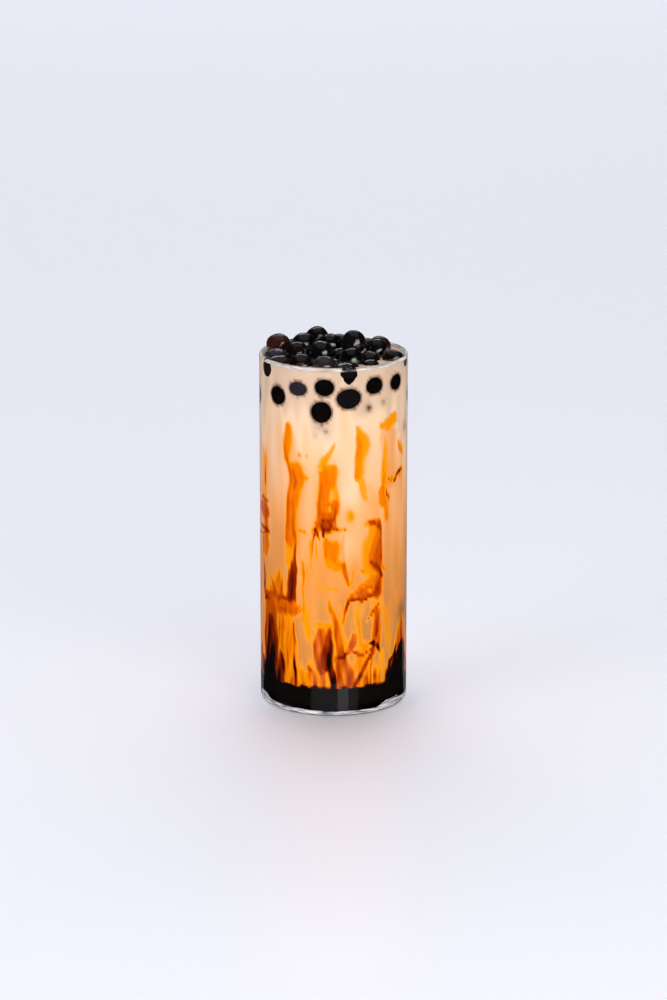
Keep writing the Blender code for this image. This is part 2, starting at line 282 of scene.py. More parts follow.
def lip_gleam_top(angle):
    """Even all round, but gone where a black pearl lies right behind the lip."""
    s = angle * INNER_RADIUS / MM
    place = Vector((math.sin(angle), -math.cos(angle), 2)) * 9
    dark = sum(math.exp(-(((s - middle) / half) ** 4)) for middle, half in BEHIND_LIP)
    return LIP_GLEAM_LOW + (1.0 + 0.3 * noise.fractal(place, 0.7, 2.0, 2)) * (1.02 - dark) * MM


heel_gleam = gleam_band(
    "gleam_in_the_heel", OUTER_RADIUS - 1.25 * MM, 0.55 * MM, heel_gleam_top, 0.3 * MM)
lip_gleam = gleam_band(
    "gleam_in_the_lip", OUTER_RADIUS - lip, LIP_GLEAM_LOW, lip_gleam_top, 0.35 * MM)


def painted_gathered_light(name, dark, dull, pale, bright):
    """A painted highlight: a milky glow in clear glass, in streaks from dark to bright."""
    material = new_finish(name)
    # Long thin streaks along the edge: 0.5 mm high and about 6 mm long
    streaks = add_node(material, "TexNoise", sockets={
        "Vector": add_node(material, "Mapping", sockets={
            "Vector": add_node(material, "TexCoord").outputs["Object"], "Scale": (1, 1, 11),
        }).outputs["Vector"], "Scale": 1 / 0.006, "Detail": 3, "Roughness": 0.55})
    tint = add_node(material, "ValToRGB", {"stops": [
        (0.34, dark), (0.43, dull), (0.54, pale), (0.7, bright)]}, {"Fac": streaks.outputs["Fac"]})
    finish_with(material, add_node(material, "BsdfPrincipled", sockets={
        "Base Color": tint.outputs["Color"], "Roughness": 0.5, "Specular IOR Level": 0.0,
    }).outputs["BSDF"])
    return material


# Both bands are painted with light, from dark streaks to a bright glow
heel_gleam.data.materials.append(painted_gathered_light(
    "light gathered in the heel of the glass", "55535A", "98969E", "D4D1D4", "F4F2F3"))
lip_gleam.data.materials.append(painted_gathered_light(
    "light gathered in the lip of the glass", "A8A4A6", "C4C0C0", "DAD5D3", "EEEAE7"))
for gleam in (heel_gleam, lip_gleam):
    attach(gleam, "root")
    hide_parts("glass")


# The syrup: brown sugar boiled down until it is nearly black, poured in first. It lies on the
# bottom and climbs the wall in tongues, where the glass was tilted.
FILL_RADIUS = INNER_RADIUS - 0.3 * MM  # of the solids, which stop short of the glass
WETS = INNER_RADIUS + 0.05 * MM  # the drink reaches just into the wall
SYRUP_LEVEL, SYRUP_WAVE, TONGUE_REACH = 11.5 * MM, 0.8 * MM, 11 * MM
# Angle from the front towards +X and half width in degrees, and rise
TONGUES = [
    (-62, 12, 27 * MM),
    (-40, 9, 8 * MM),
    (72, 13, 18 * MM),
    (128, 11, 9 * MM),
    (190, 16, 21 * MM),
    (244, 10, 12 * MM),
]
DRINK_SIDES = 440


# The film of syrup: before the milk goes in, syrup is smeared on the inside of the glass, and it
# runs and swirls into the milk. It is painted on the skin of the drink by strokes at the wall:
# how thick the syrup is, from a wash at 0.2, yellow at 0.4 and orange at 0.56 to red brown at
# 0.75 and black at 1, how soft its left and right edges are, and the path as distance along the
# wall from the front, height and half width, in mm.
LEFT_STREAKS = [
    (0.24, 3.0, 4.6, [(-18.5, 122, 2.2), (-17, 110, 4.2), (-14, 103, 5.2), (-15, 92, 4.4), (-14.6, 78, 4.0)]),
    (0.54, 1.0, 1.8, [(-19.6, 124, 1.7), (-20.2, 118, 2.3), (-20.3, 110, 2.1)]),
    (0.56, 0.8, 1.8, [(-18.6, 108.6, 1.1), (-16.0, 105.5, 3.7), (-15.2, 102.4, 4.5), (-16.2, 98, 3.0),
                      (-17.4, 93, 3.0), (-18.0, 88, 3.1), (-18.2, 80, 3.1), (-18.2, 74.5, 2.9)]),
    (0.50, 1.2, 1.2, [(-14, 103.2, 1.7), (-10.8, 102, 1.1)]),
    (0.64, 0.8, 2.4, [(-20.8, 119, 0.7), (-20.9, 114, 1.2), (-19.2, 107, 1.2), (-18.0, 103, 1.8),
                      (-18.4, 98, 1.4), (-19.0, 92, 1.5), (-19.9, 86, 1.4), (-19.9, 76, 1.7)]),
    (0.67, 1.2, 1.6, [(-17.2, 105, 0.9), (-16.0, 101, 1.9), (-16.8, 97, 1.1)]),
    (0.66, 1.4, 1.4, [(-17.8, 92, 0.9), (-17.4, 84, 1.2), (-17.0, 76, 1.3)]),
    (0.78, 0.5, 0.7, [(-19.3, 107, 0.3), (-19.2, 102.5, 0.4)]),
    (0.44, 0.8, 0.8, [(-19.2, 74.5, 1.9), (-19.5, 66, 1.8)]),
    (0.70, 0.9, 0.6, [(-17.0, 79, 0.9), (-16.7, 74, 0.8), (-16.6, 70, 0.9)]),
    (0.82, 1.3, 0.6, [(-16.8, 73, 0.7), (-16.9, 67, 1.1), (-17.6, 62, 2.0), (-18.5, 56, 2.5),
                      (-18.6, 50, 2.4)]),
    (0.88, 1.5, 0.9, [(-17.8, 65, 0.8), (-18.5, 58, 1.4), (-18.6, 50, 1.4)]),
    (0.40, 1.0, 2.4, [(-15.5, 79.5, 0.8), (-11.5, 78.8, 0.8)]),
    (0.40, 1.0, 2.4, [(-15.2, 76, 0.6), (-14.4, 68, 0.5)]),
    (0.56, 0.6, 0.6, [(-18, 106.2, 0.4), (-14.5, 106.8, 0.4), (-11, 106.3, 0.3)]),
    (0.58, 0.6, 0.6, [(-16, 113, 0.4), (-13.5, 112, 0.5), (-11, 112.2, 0.3)]),
    (0.62, 0.6, 0.6, [(-15.5, 80.0, 0.4), (-12, 79.2, 0.5), (-10.2, 79.0, 0.3)]),
    (0.56, 0.8, 1.4, [(-9.3, 77, 0.4), (-9.2, 68, 0.6), (-8.4, 61, 0.4)]),
    (0.60, 0.9, 1.2, [(-13.6, 66.5, 0.6), (-12.4, 62, 0.9), (-12.2, 56, 0.6)]),
    # tufts and the band under them
    (0.34, 2.0, 2.0, [(-25, 62, 0.8), (-26, 56, 4.4), (-27, 51, 6.4)]),
    (0.56, 1.2, 1.2, [(-24.8, 61.5, 0.6), (-25.2, 57.5, 2.0), (-26, 53, 3.8), (-27, 50.5, 5.2)]),
    (0.74, 0.8, 0.8, [(-30, 57.5, 0.3), (-29.2, 54, 0.8), (-27.4, 51, 1.4)]),
    (0.70, 0.7, 0.7, [(-22.6, 59, 0.3), (-23.1, 55, 0.7), (-23.2, 51, 0.9)]),
    (0.66, 0.7, 0.7, [(-25.4, 60, 0.3), (-26.3, 56, 0.4), (-28.6, 52.5, 0.5)]),
    (0.42, 0.6, 0.6, [(-24.6, 58, 0.3), (-24.8, 52.5, 0.6)]),
    (0.42, 0.7, 0.7, [(-31.0, 55, 0.4), (-31.6, 51.5, 0.7)]),
    (0.70, 1.8, 1.6, [(-36, 48.9, 1.6), (-31, 49.4, 1.9), (-25, 49.4, 2.0), (-18.0, 49.4, 1.8)]),
    (0.62, 1.8, 1.4, [(-33, 45, 3.0), (-27, 44.8, 3.6), (-22, 45.6, 4.0), (-18, 45.6, 3.0)]),
    (0.84, 1.4, 1.4, [(-34.5, 46.8, 1.6), (-31.5, 47, 1.0)]),
    (0.80, 1.6, 1.6, [(-25.5, 49.5, 1.2), (-22.5, 49.0, 1.6), (-19.6, 49.2, 1.4)]),
    (0.76, 1.4, 1.2, [(-24.5, 44.4, 0.8), (-21.2, 44.0, 1.0)]),
    (0.64, 0.7, 0.7, [(-18.4, 42.4, 0.6), (-15.4, 43.2, 0.7), (-13.4, 46.4, 0.6)]),
    (0.72, 0.7, 0.7, [(-18.6, 44.6, 0.5), (-16.2, 45.8, 0.6), (-14.8, 48.2, 0.5)]),
    (0.42, 1.4, 1.4, [(-16.6, 44.6, 1.6), (-15, 47, 1.6)]),
]
LEFT_EDGE = [
    (0.34, 2.0, 2.0, [(-37, 112, 0.6), (-36, 106, 2.6), (-36, 98, 2.8), (-37, 90, 3.6)]),
    (0.50, 0.9, 0.9, [(-38.5, 110, 0.3), (-36.2, 108, 0.8), (-33.6, 106, 0.6)]),
    (0.46, 0.9, 0.9, [(-34, 111, 0.4), (-33.8, 105.5, 0.8)]),
    (0.80, 1.0, 1.2, [(-36.0, 104.5, 0.6), (-35.6, 100, 0.8), (-35.0, 96, 0.7)]),
    (0.66, 1.6, 0.8, [(-39, 85, 3.4), (-36.6, 84.5, 4.4), (-34.2, 84, 3.4)]),
    (0.60, 1.6, 0.8, [(-34.8, 82, 2.8), (-34.6, 77, 2.6)]),
    (0.82, 1.0, 1.0, [(-40, 89.2, 0.8), (-36, 89.4, 1.0), (-32.6, 89.2, 0.7)]),
    (0.74, 1.2, 1.2, [(-38, 86.0, 0.8), (-35, 83.6, 1.4), (-33.6, 80.6, 0.8)]),
    (0.86, 1.2, 1.2, [(-41, 77.0, 0.8), (-37, 76.6, 1.3), (-33, 76.4, 1.0)]),
    (0.82, 0.7, 0.7, [(-45, 72.6, 0.6), (-38, 74.2, 0.7), (-31.5, 75.8, 0.6)]),
    (0.58, 1.6, 1.0, [(-35.0, 74.6, 3.2), (-34.4, 70, 3.4), (-34.6, 66, 2.2)]),
    (0.70, 1.2, 1.2, [(-38.2, 72, 1.2), (-37.6, 66, 1.4)]),
    (0.60, 1.6, 1.6, [(-37.4, 63, 1.8), (-36.6, 56, 2.0), (-36.4, 51, 2.0)]),
    (0.88, 0.9, 0.9, [(-36.8, 60, 0.8), (-36.6, 54, 1.1), (-36.6, 50.5, 1.2)]),
    (0.36, 1.6, 1.6, [(-32.5, 57, 1.4), (-32.8, 52, 1.6)]),
]
MIDDLE_STREAKS = [
    (0.20, 3.0, 3.0, [(-3, 110, 3.5), (-3, 100, 4.5), (-3, 85, 5.5), (-2, 66, 6.5), (-2, 56, 7.5)]),
    (0.45, 1.0, 1.2, [(0.4, 117.4, 0.8), (-1.8, 113.6, 1.5), (-4.0, 110.4, 1.8), (-5.6, 107.6, 1.3)]),
    (0.53, 0.9, 0.9, [(-3.2, 106.8, 2.0), (-0.8, 106.4, 2.9), (-0.4, 103.6, 2.7)]),
    (0.57, 0.9, 0.9, [(-5.2, 104.8, 1.5), (-2.6, 103.2, 4.0), (-1.8, 101.8, 3.4)]),
    (0.58, 0.8, 1.4, [(-4.0, 103, 2.6), (-3.8, 98, 2.7), (-3.9, 92, 2.8)]),
    (0.67, 0.8, 1.6, [(-5.4, 101, 0.8), (-5.2, 95, 1.1), (-5.7, 90, 1.3), (-6.2, 86, 1.3)]),
    (0.44, 2.0, 1.2, [(0.2, 101.5, 1.8), (0.9, 96, 1.3), (1.0, 92.6, 1.4)]),
    (0.60, 1.0, 1.0, [(-6.4, 91.4, 0.9), (-3.8, 92.8, 0.9), (0.3, 91.8, 1.8), (0.7, 88, 1.8)]),
    (0.64, 1.0, 1.0, [(-5.2, 87.2, 2.2), (-3.0, 85.6, 4.2), (-2.8, 83.4, 4.6)]),
    (0.74, 1.6, 1.2, [(0.9, 90, 0.8), (0.6, 86, 1.4), (-1.6, 84.2, 2.0), (-5, 84.0, 1.9), (-6.8, 83.4, 1.3)]),
    (0.82, 1.2, 1.2, [(-6.0, 84.6, 0.8), (-3.4, 85.6, 1.0), (-1.6, 84.0, 1.0)]),
    (0.86, 0.9, 0.8, [(-8.2, 80.8, 0.6), (-6.6, 81.8, 1.0), (-3.6, 81.4, 1.4), (-0.4, 81.8, 1.1),
                      (2.2, 81.2, 0.6), (4.8, 81.0, 0.35)]),
    (0.84, 0.6, 0.7, [(-7.2, 81, 0.7), (-7.7, 78.5, 0.6), (-8.2, 76, 0.35)]),
    (0.84, 0.6, 0.6, [(-6.6, 80, 0.6), (-6.4, 77.5, 0.5), (-5.8, 76.2, 0.3)]),
    (0.86, 0.6, 0.6, [(-4.4, 80.5, 1.0), (-4.2, 78.4, 0.6), (-3.0, 77.4, 0.35)]),
    (0.64, 0.7, 0.7, [(-8.4, 77, 0.5), (-8.6, 73, 0.5), (-9.0, 68, 0.35)]),
    (0.58, 0.7, 0.7, [(-7.0, 75, 0.4), (-7.0, 68, 0.4)]),
    (0.56, 1.2, 1.4, [(-2.4, 75.8, 1.8), (-0.9, 73.2, 3.5), (-0.9, 70.4, 3.5)]),
    (0.47, 1.4, 1.4, [(-1.6, 70, 3.2), (-0.2, 67, 3.8), (1.2, 65.4, 3.0)]),
    (0.62, 1.0, 1.0, [(-3.4, 74, 0.6), (-3.6, 70, 0.8)]),
    (0.58, 1.0, 1.2, [(-0.5, 68.6, 1.0), (2.0, 66.6, 1.1), (3.6, 65.0, 1.2)]),
    (0.62, 1.0, 1.0, [(3.2, 66.6, 1.2), (4.6, 62.6, 1.4), (5.8, 59.0, 1.4), (6.2, 56.4, 1.0)]),
    (0.70, 0.8, 0.8, [(4.8, 61.4, 0.6), (5.9, 57.6, 0.7)]),
    (0.42, 1.2, 1.2, [(-6.6, 56.4, 0.7), (-3, 55.6, 1.0), (2, 55.8, 0.6)]),
    (0.40, 1.2, 2.4, [(4.0, 79, 0.5), (3.2, 73, 0.7), (4.0, 68, 0.5)]),
    (0.46, 2.0, 2.0, [(6.8, 87.4, 2.0), (6.6, 85.6, 1.8)]),
    (0.54, 0.7, 0.8, [(-12.8, 64, 0.6), (-12.6, 52, 0.7), (-12.8, 40, 0.6)]),
    (0.54, 0.6, 0.6, [(-14.2, 62.5, 0.4), (-12.9, 65.6, 0.5), (-11.2, 64.6, 0.4), (-10.4, 60, 0.3)]),
    (0.24, 3.0, 3.0, [(-9.5, 62, 1.6), (-9, 52, 2.4), (-9, 44, 3.0)]),
]
RIGHT_STREAKS = [
    (0.46, 0.9, 1.8, [(9.7, 124.2, 0.9), (11.6, 119.8, 2.9), (12.3, 116.5, 3.2), (11.0, 111, 2.6),
                      (10.8, 106, 2.5), (10.4, 103.4, 2.1)]),
    (0.55, 0.7, 1.8, [(10.3, 121, 0.9), (11.0, 116, 2.0), (10.6, 110, 1.9), (10.2, 105.5, 1.9),
                      (9.9, 103.6, 1.6)]),
    (0.38, 1.2, 1.2, [(11.8, 101, 1.3), (12.6, 97, 1.6), (13.6, 93.6, 1.0)]),
    (0.46, 0.8, 1.2, [(10.8, 101, 0.5), (12.2, 96, 0.6), (12.8, 94, 0.4)]),
    (0.24, 2.4, 2.4, [(13.5, 94.4, 1.2), (16, 92, 2.2), (17.8, 90.4, 1.0)]),
    (0.20, 3.0, 3.0, [(15, 99, 2.0), (17, 88, 4.0), (16, 82, 4.0)]),
    # the mitten, the streak under it and its specks
    (0.45, 0.8, 0.8, [(21.8, 123.8, 1.9), (24.4, 124.2, 2.8), (27.2, 125.0, 2.9), (28.2, 126.4, 2.0)]),
    (0.26, 3.0, 3.0, [(25, 119, 5.0), (25, 110, 3.8), (26, 100, 4.4)]),
    (0.53, 0.8, 0.8, [(31.4, 115.4, 0.6), (33.2, 111.8, 1.4), (35.4, 109.4, 1.0)]),
    (0.50, 0.7, 0.7, [(33.6, 115, 0.5), (35.4, 111.5, 0.9)]),
    (0.42, 1.2, 2.0, [(23.4, 117, 1.1), (23.4, 108, 2.3), (23.2, 99, 2.4)]),
    (0.50, 1.0, 2.0, [(22.8, 108, 1.0), (23.2, 103, 1.5), (22.6, 97, 1.6)]),
    (0.54, 1.0, 1.2, [(21.4, 96.0, 2.3), (21.6, 92, 2.7), (22.8, 89.8, 1.9)]),
    (0.52, 0.9, 1.0, [(24.0, 90.5, 1.6), (24.0, 83, 1.3)]),
    (0.74, 0.8, 0.8, [(24.3, 96.6, 0.5), (25.2, 93.8, 0.8), (26.0, 91.4, 0.5)]),
    (0.66, 0.8, 0.8, [(24.2, 95.8, 0.5), (24.2, 90.2, 0.5)]),
    (0.50, 1.2, 1.2, [(26.2, 99.8, 1.0), (31, 100.8, 1.7), (35, 102.2, 1.2)]),
    (0.95, 0.6, 0.6, [(28.6, 99.3, 0.7), (30.4, 100.8, 0.8), (31.8, 102.2, 1.0), (34.4, 103.2, 0.7)]),
    (0.80, 0.6, 0.6, [(24.2, 100.4, 0.5), (26.2, 99.8, 0.5), (27.2, 101.2, 0.4)]),
    (0.40, 0.8, 0.8, [(31.6, 100, 0.8), (34.6, 99.4, 0.8)]),
    (0.72, 1.2, 1.0, [(13.4, 83.0, 0.7), (16.4, 82.8, 1.8), (19.4, 82.6, 1.9), (20.6, 80.4, 1.3)]),
    (0.82, 1.0, 1.0, [(17.4, 82.6, 0.9), (19.8, 81.6, 0.9)]),
    # the big dark fold
    (0.46, 1.6, 0.8, [(18.0, 79, 3.8), (17.2, 73, 4.8), (16.8, 67, 5.0), (16.8, 63.4, 4.8)]),
    (0.60, 1.6, 0.8, [(19.4, 79, 2.4), (18.4, 74, 3.5), (18.0, 69, 4.0), (18.2, 64.6, 3.8)]),
    (0.68, 1.8, 0.8, [(20.2, 76, 1.4), (19.2, 71, 2.5), (18.8, 66, 2.9)]),
    (0.76, 1.2, 0.7, [(20.7, 81, 0.8), (21.1, 77, 0.9), (20.9, 72, 0.8), (20.8, 67, 1.0)]),
    (0.80, 1.6, 1.0, [(15.6, 65.4, 1.0), (18.2, 64.2, 2.0), (20.4, 62.4, 1.6)]),
    (0.84, 1.2, 1.0, [(19.0, 63.8, 0.9), (20.8, 61.6, 1.1), (21.6, 59.2, 1.1)]),
    (0.66, 1.4, 1.4, [(22.0, 63, 0.8), (23.6, 61.4, 0.7)]),
    (0.62, 1.6, 1.2, [(20.2, 62, 2.0), (19.4, 56.4, 3.2), (18.6, 52.6, 3.3)]),
    (0.74, 1.6, 1.2, [(20.6, 58.4, 1.6), (19.4, 55, 2.5), (18.6, 52.4, 2.5)]),
    (0.83, 1.4, 1.0, [(20.4, 57, 0.9), (19.2, 53.6, 1.2)]),
    (0.56, 1.6, 1.2, [(17.2, 58.2, 2.5), (12.6, 55.6, 2.3), (8.0, 52.8, 1.7), (5.8, 51.0, 1.2)]),
    (0.66, 1.2, 1.2, [(16.2, 56.2, 1.2), (11.6, 53.8, 1.2), (7.4, 51.4, 1.0)]),
    (0.50, 0.8, 0.8, [(8.2, 63.6, 0.4), (8.6, 60, 0.8), (7.6, 57.2, 0.6)]),
    (0.60, 0.7, 0.7, [(8.0, 62.4, 0.3), (10.6, 61.8, 0.4), (12.8, 63.2, 0.4)]),
    (0.74, 1.4, 1.0, [(17.2, 51.2, 1.3), (13, 51.0, 1.2), (9, 50.8, 1.1), (6.2, 50.0, 1.3)]),
    (0.85, 0.9, 0.9, [(15.0, 50.4, 0.7), (10, 50.2, 0.7), (6.4, 49.4, 0.9), (5.2, 47.4, 0.9)]),
    (0.72, 1.4, 1.4, [(5.8, 49.6, 1.1), (4.9, 46.4, 1.3), (4.2, 43.2, 1.0), (3.9, 40.4, 0.7)]),
    (0.50, 1.8, 1.8, [(19.4, 47.6, 1.6), (18.2, 44.6, 2.8), (16.4, 42.8, 1.6)]),
    (0.74, 0.9, 0.9, [(20.0, 47.6, 0.6), (18.4, 45.8, 1.0), (15.8, 43.0, 0.8), (13.8, 41.2, 0.5)]),
    (0.34, 2.0, 2.0, [(12, 47, 1.8), (10.6, 43, 1.8)]),
]
FOOT_STREAKS = [
    # dark run at the left and the stained stripes beside it
    (0.34, 1.4, 2.0, [(-40.5, 44, 2.0), (-40.5, 34, 2.4), (-40.5, 24, 3.0)]),
    (0.66, 1.8, 1.8, [(-31.6, 46.0, 3.2), (-31.0, 41, 5.2), (-30.6, 30, 6.0), (-31.0, 20, 6.2)]),
    (0.82, 2.4, 2.4, [(-31.0, 38.6, 3.0), (-30.4, 30, 4.2), (-30.8, 20, 5.2), (-31.4, 13, 7.0)]),
    (1.00, 3.0, 3.0, [(-30.4, 25, 2.0), (-30.8, 18, 4.2), (-31.4, 13.4, 6.4)]),
    (0.66, 1.6, 1.6, [(-40.6, 24, 1.6), (-40.4, 19, 2.2), (-40, 14, 2.6)]),
    (0.90, 1.6, 1.6, [(-38.4, 19.6, 1.4), (-36.8, 14, 2.6)]),
    (0.66, 0.7, 0.7, [(-25.0, 41, 0.4), (-24.6, 35, 0.5), (-24.2, 28.5, 0.4)]),
    (0.76, 1.2, 1.0, [(-24.0, 25.4, 1.0), (-23.8, 21, 1.8), (-24.0, 12.5, 2.6)]),
    (0.70, 0.9, 0.9, [(-22.8, 24.4, 0.6), (-22.2, 17, 0.8), (-22.0, 12.5, 0.8)]),
    (0.45, 1.0, 1.4, [
        (-22.0, 42, 3.4), (-20.6, 34, 4.4), (-20.2, 26, 4.6), (-19.8, 18, 4.8), (-19.2, 13, 5.2)]),
    (0.58, 1.2, 1.2, [(-22.6, 42, 1.0), (-22.6, 34, 1.2), (-22.4, 28, 1.0)]),
    (0.60, 0.8, 0.8, [(-20.0, 41, 0.5), (-20.2, 30, 0.6), (-20.4, 20, 0.6)]),
    (0.70, 0.7, 0.7, [(-17.4, 40, 0.5), (-17.4, 28, 0.8), (-17.2, 20, 0.7)]),
    (0.74, 0.8, 0.8, [(-16.6, 24, 0.6), (-16.4, 18, 1.0), (-16.8, 12, 1.0)]),
    (0.14, 2.0, 2.0, [(-12.6, 44, 3.0), (-12.4, 32, 3.2), (-12, 22, 3.4)]),
    (0.44, 1.8, 1.8, [(-15, 19, 1.6), (-12.5, 17.5, 2.6), (-9.4, 15.6, 3.4)]),
    (0.56, 1.8, 1.8, [(-10.6, 21, 1.2), (-8.4, 18.2, 1.6), (-7.4, 13.2, 1.6)]),
    (0.52, 1.2, 1.2, [(-5.0, 19, 1.6), (-4.6, 14, 1.8)]),
    (0.58, 3.0, 3.0, [(-16, 12.6, 0.6), (-4, 12.8, 0.9), (8, 12.6, 0.9), (22, 12.6, 0.6)]),
    # bottom middle
    (0.56, 1.0, 1.2, [(-1.8, 50.5, 0.8), (-1.0, 46, 1.2), (0.6, 42, 1.4), (1.8, 38, 1.6)]),
    (0.64, 0.8, 0.8, [(-0.2, 43.6, 0.5), (1.2, 39.6, 0.7), (2.2, 36.4, 0.6)]),
    (0.46, 1.6, 1.6, [(-7.6, 39.4, 1.2), (-4.4, 40.0, 1.6), (-1.4, 39.2, 1.6)]),
    (0.60, 1.6, 1.4, [(-5.2, 36.2, 2.6), (-4.4, 30, 4.3), (-4.2, 24, 4.2), (-4.8, 21, 3.2)]),
    (0.73, 1.6, 1.2, [(-1.8, 37, 1.5), (-2.4, 31, 2.2), (-2.8, 26, 2.8), (-3.0, 21.8, 2.8)]),
    (0.82, 1.6, 1.0, [(-1.4, 34, 0.9), (-1.6, 28, 1.3), (-2.0, 23, 1.9), (-1.2, 19.6, 1.1), (-0.9, 12, 0.9)]),
    (0.60, 1.2, 1.4, [(1.4, 38, 1.5), (2.2, 33, 2.2), (2.6, 27, 2.2)]),
    (0.73, 1.0, 1.0, [(0.4, 25, 1.0), (3.2, 25.6, 1.2), (6.2, 27.6, 1.0)]),
    (0.56, 2.0, 2.0, [(3.4, 24, 3.0), (5.0, 18, 4.0), (4.6, 13, 4.4)]),
    (0.66, 0.9, 0.9, [(3.8, 23, 0.6), (3.2, 17, 0.8), (4.6, 12.6, 0.8)]),
    (0.60, 1.4, 1.4, [(8.6, 35, 1.4), (8.0, 30.6, 2.1), (6.2, 27.6, 1.6)]),
    (0.14, 1.6, 1.6, [(7.6, 43, 1.1), (7.6, 36, 1.2)]),
    (0.46, 1.0, 1.0, [(10.6, 43, 0.7), (10.8, 36, 0.9), (11.6, 30, 1.0)]),
    (0.42, 2.4, 2.0, [(13, 30, 2.6), (11.6, 25, 2.8), (9, 20, 2.4)]),
    (0.74, 1.6, 1.6, [(16.4, 26, 1.0), (13.4, 21, 1.3), (10.8, 16.8, 1.3), (8.6, 12.6, 1.5)]),
    (0.66, 1.2, 1.2, [(8.8, 27, 0.9), (12, 26.4, 1.0), (15.6, 27.4, 1.1)]),
    (0.54, 1.4, 1.4, [(13.6, 16, 1.8), (13.8, 12.6, 2.0)]),
    # bottom right
    (0.60, 1.6, 1.2, [(19.2, 44, 2.2), (19.2, 38, 2.5), (18.8, 31, 2.4)]),
    (0.70, 1.2, 1.2, [(20.0, 43, 0.9), (19.6, 37, 1.3), (18.4, 33, 1.3)]),
    (0.86, 1.2, 1.2, [(14.8, 30.6, 0.8), (16.8, 30.2, 1.5), (19.0, 29.0, 1.5), (20.2, 27.2, 0.8)]),
    (0.64, 1.4, 1.4, [(17.6, 29, 1.6), (17.0, 26, 1.4)]),
    (0.30, 1.8, 1.2, [(21.6, 26, 2.0), (21.6, 19, 2.6), (21.2, 13.2, 2.8)]),
    (0.80, 1.0, 1.0, [(0.3, 12, 1.3), (0.1, 18, 1.4), (-0.4, 23.4, 0.7)]),
    (0.66, 1.4, 1.4, [(9.8, 52.8, 0.9), (12.4, 52, 1.6), (15.2, 52.6, 1.4)]),
    (0.70, 0.8, 0.8, [(17.0, 25, 0.5), (16.6, 19, 0.6), (16.0, 13, 0.7)]),
    (0.26, 2.4, 2.4, [(25.5, 44, 3.0), (25.5, 34, 3.0), (25.6, 26, 2.2)]),
    (0.30, 3.4, 3.4, [(32, 50, 2.0), (33, 44, 2.6)]),
    (0.60, 3.4, 3.4, [(35.6, 38, 1.4), (35.6, 33, 3.4), (35, 28, 5.2)]),
    (0.96, 3.4, 3.4, [(36.6, 26, 2.6), (35.4, 23.4, 4.4), (34, 18.6, 7.2), (32, 13, 9.0)]),
    (0.90, 0.9, 1.2, [(30.8, 27, 0.8), (28.6, 22.6, 1.0), (26.0, 20.6, 1.0), (24.6, 16, 1.0)]),
]
GIRTH = 2 * math.pi * INNER_RADIUS / MM
SOFTER = 1.5  # every stroke's edges blend into the milk over this much more than it says
FRONT = 47  # no repeated streak comes nearer to the middle of the front than this, in mm
# Groups of streaks that the sides and the back repeat: turned round the glass by this much,
# mirrored or not, and moved up
TURNED = [
    (MIDDLE_STREAKS, 60.0, 1, 3.0), (RIGHT_STREAKS, 64.0, 1, -3.0), (LEFT_STREAKS, 95.0, -1, 1.5),
    (LEFT_EDGE, 14.0, -1, -4.0), (RIGHT_STREAKS, -82.0, 1, 2.0), (FOOT_STREAKS, 72.0, 1, -0.6),
    (FOOT_STREAKS, -76.0, -1, -0.6), (LEFT_EDGE, 98.0, 1, 3.0),
]
# What lies just behind the milk, painted on it as shade: pearls sunk nearly out of sight, as distance
# along the wall, height, half width, how dark and how brown
SUNK = [
    (14.9, 132.2, 1.2, 0.95, 1.0), (22.0, 133.6, 1.1, 0.5, 0.3), (-3.2, 123.2, 1.0, 0.5, 0.0),
    (-7.4, 121.0, 1.6, 0.16, 0.0), (38.5, 120.0, 2.4, 0.4, 0.3), (-5.4, 125.4, 1.8, 0.30, 0.9),
    (35.8, 41.0, 4.0, 0.42, 0.8), (80.0, 126.0, 1.6, 0.5, 0.4), (-84.0, 124.0, 1.4, 0.4, 0.6),
    (61.0, 128.0, 1.0, 0.7, 0.8),
]
# Where the milk is creamier: distance along the wall, height, half width, half height, how much
CREAMY_PATCHES = [(7.2, 74, 4, 9, 0.34), (5, 95, 4, 6, 0.16)]


def ripple(across, up, size_across, size_up, seed):
    """Smooth uneven values between -1 and 1 on the wall, from waves that close round it."""
    draw = random.Random(seed)
    total = np.zeros_like(across)
    for _ in range(9):
        turns = max(1, round(GIRTH / size_across * draw.uniform(0.5, 1.4)))
        climb = 2 * math.pi / size_up * draw.uniform(-1.2, 1.2)
        total += draw.uniform(0.5, 1) * np.sin(
            2 * math.pi * turns * across / GIRTH + climb * up + draw.uniform(0, 6.28))
    return total / 3.2


def lay_stroke(film, across, up, depth, soft_left, soft_right, path):
    """Lays one stroke over the film, where it is thicker than what is there."""
    for (s0, z0, w0), (s1, z1, w1) in zip(path, path[1:]):
        room = max(w0, w1) + max(soft_left, soft_right)
        near = np.nonzero(
            (across > min(s0, s1) - room) & (across < max(s0, s1) + room)
            & (up > min(z0, z1) - room) & (up < max(z0, z1) + room))[0]
        here, high = across[near], up[near]
        ds, dz = s1 - s0, z1 - z0
        share = np.clip(((here - s0) * ds + (high - z0) * dz) / (ds * ds + dz * dz), 0, 1)
        off = here - (s0 + ds * share)
        away = np.hypot(off, high - (z0 + dz * share))
        soft = np.where(off < 0, soft_left, soft_right)
        cover = np.clip((w0 + (w1 - w0) * share - away) / soft + 0.5, 0, 1)
        film[near] = np.maximum(film[near], depth * cover * cover * (3 - 2 * cover))


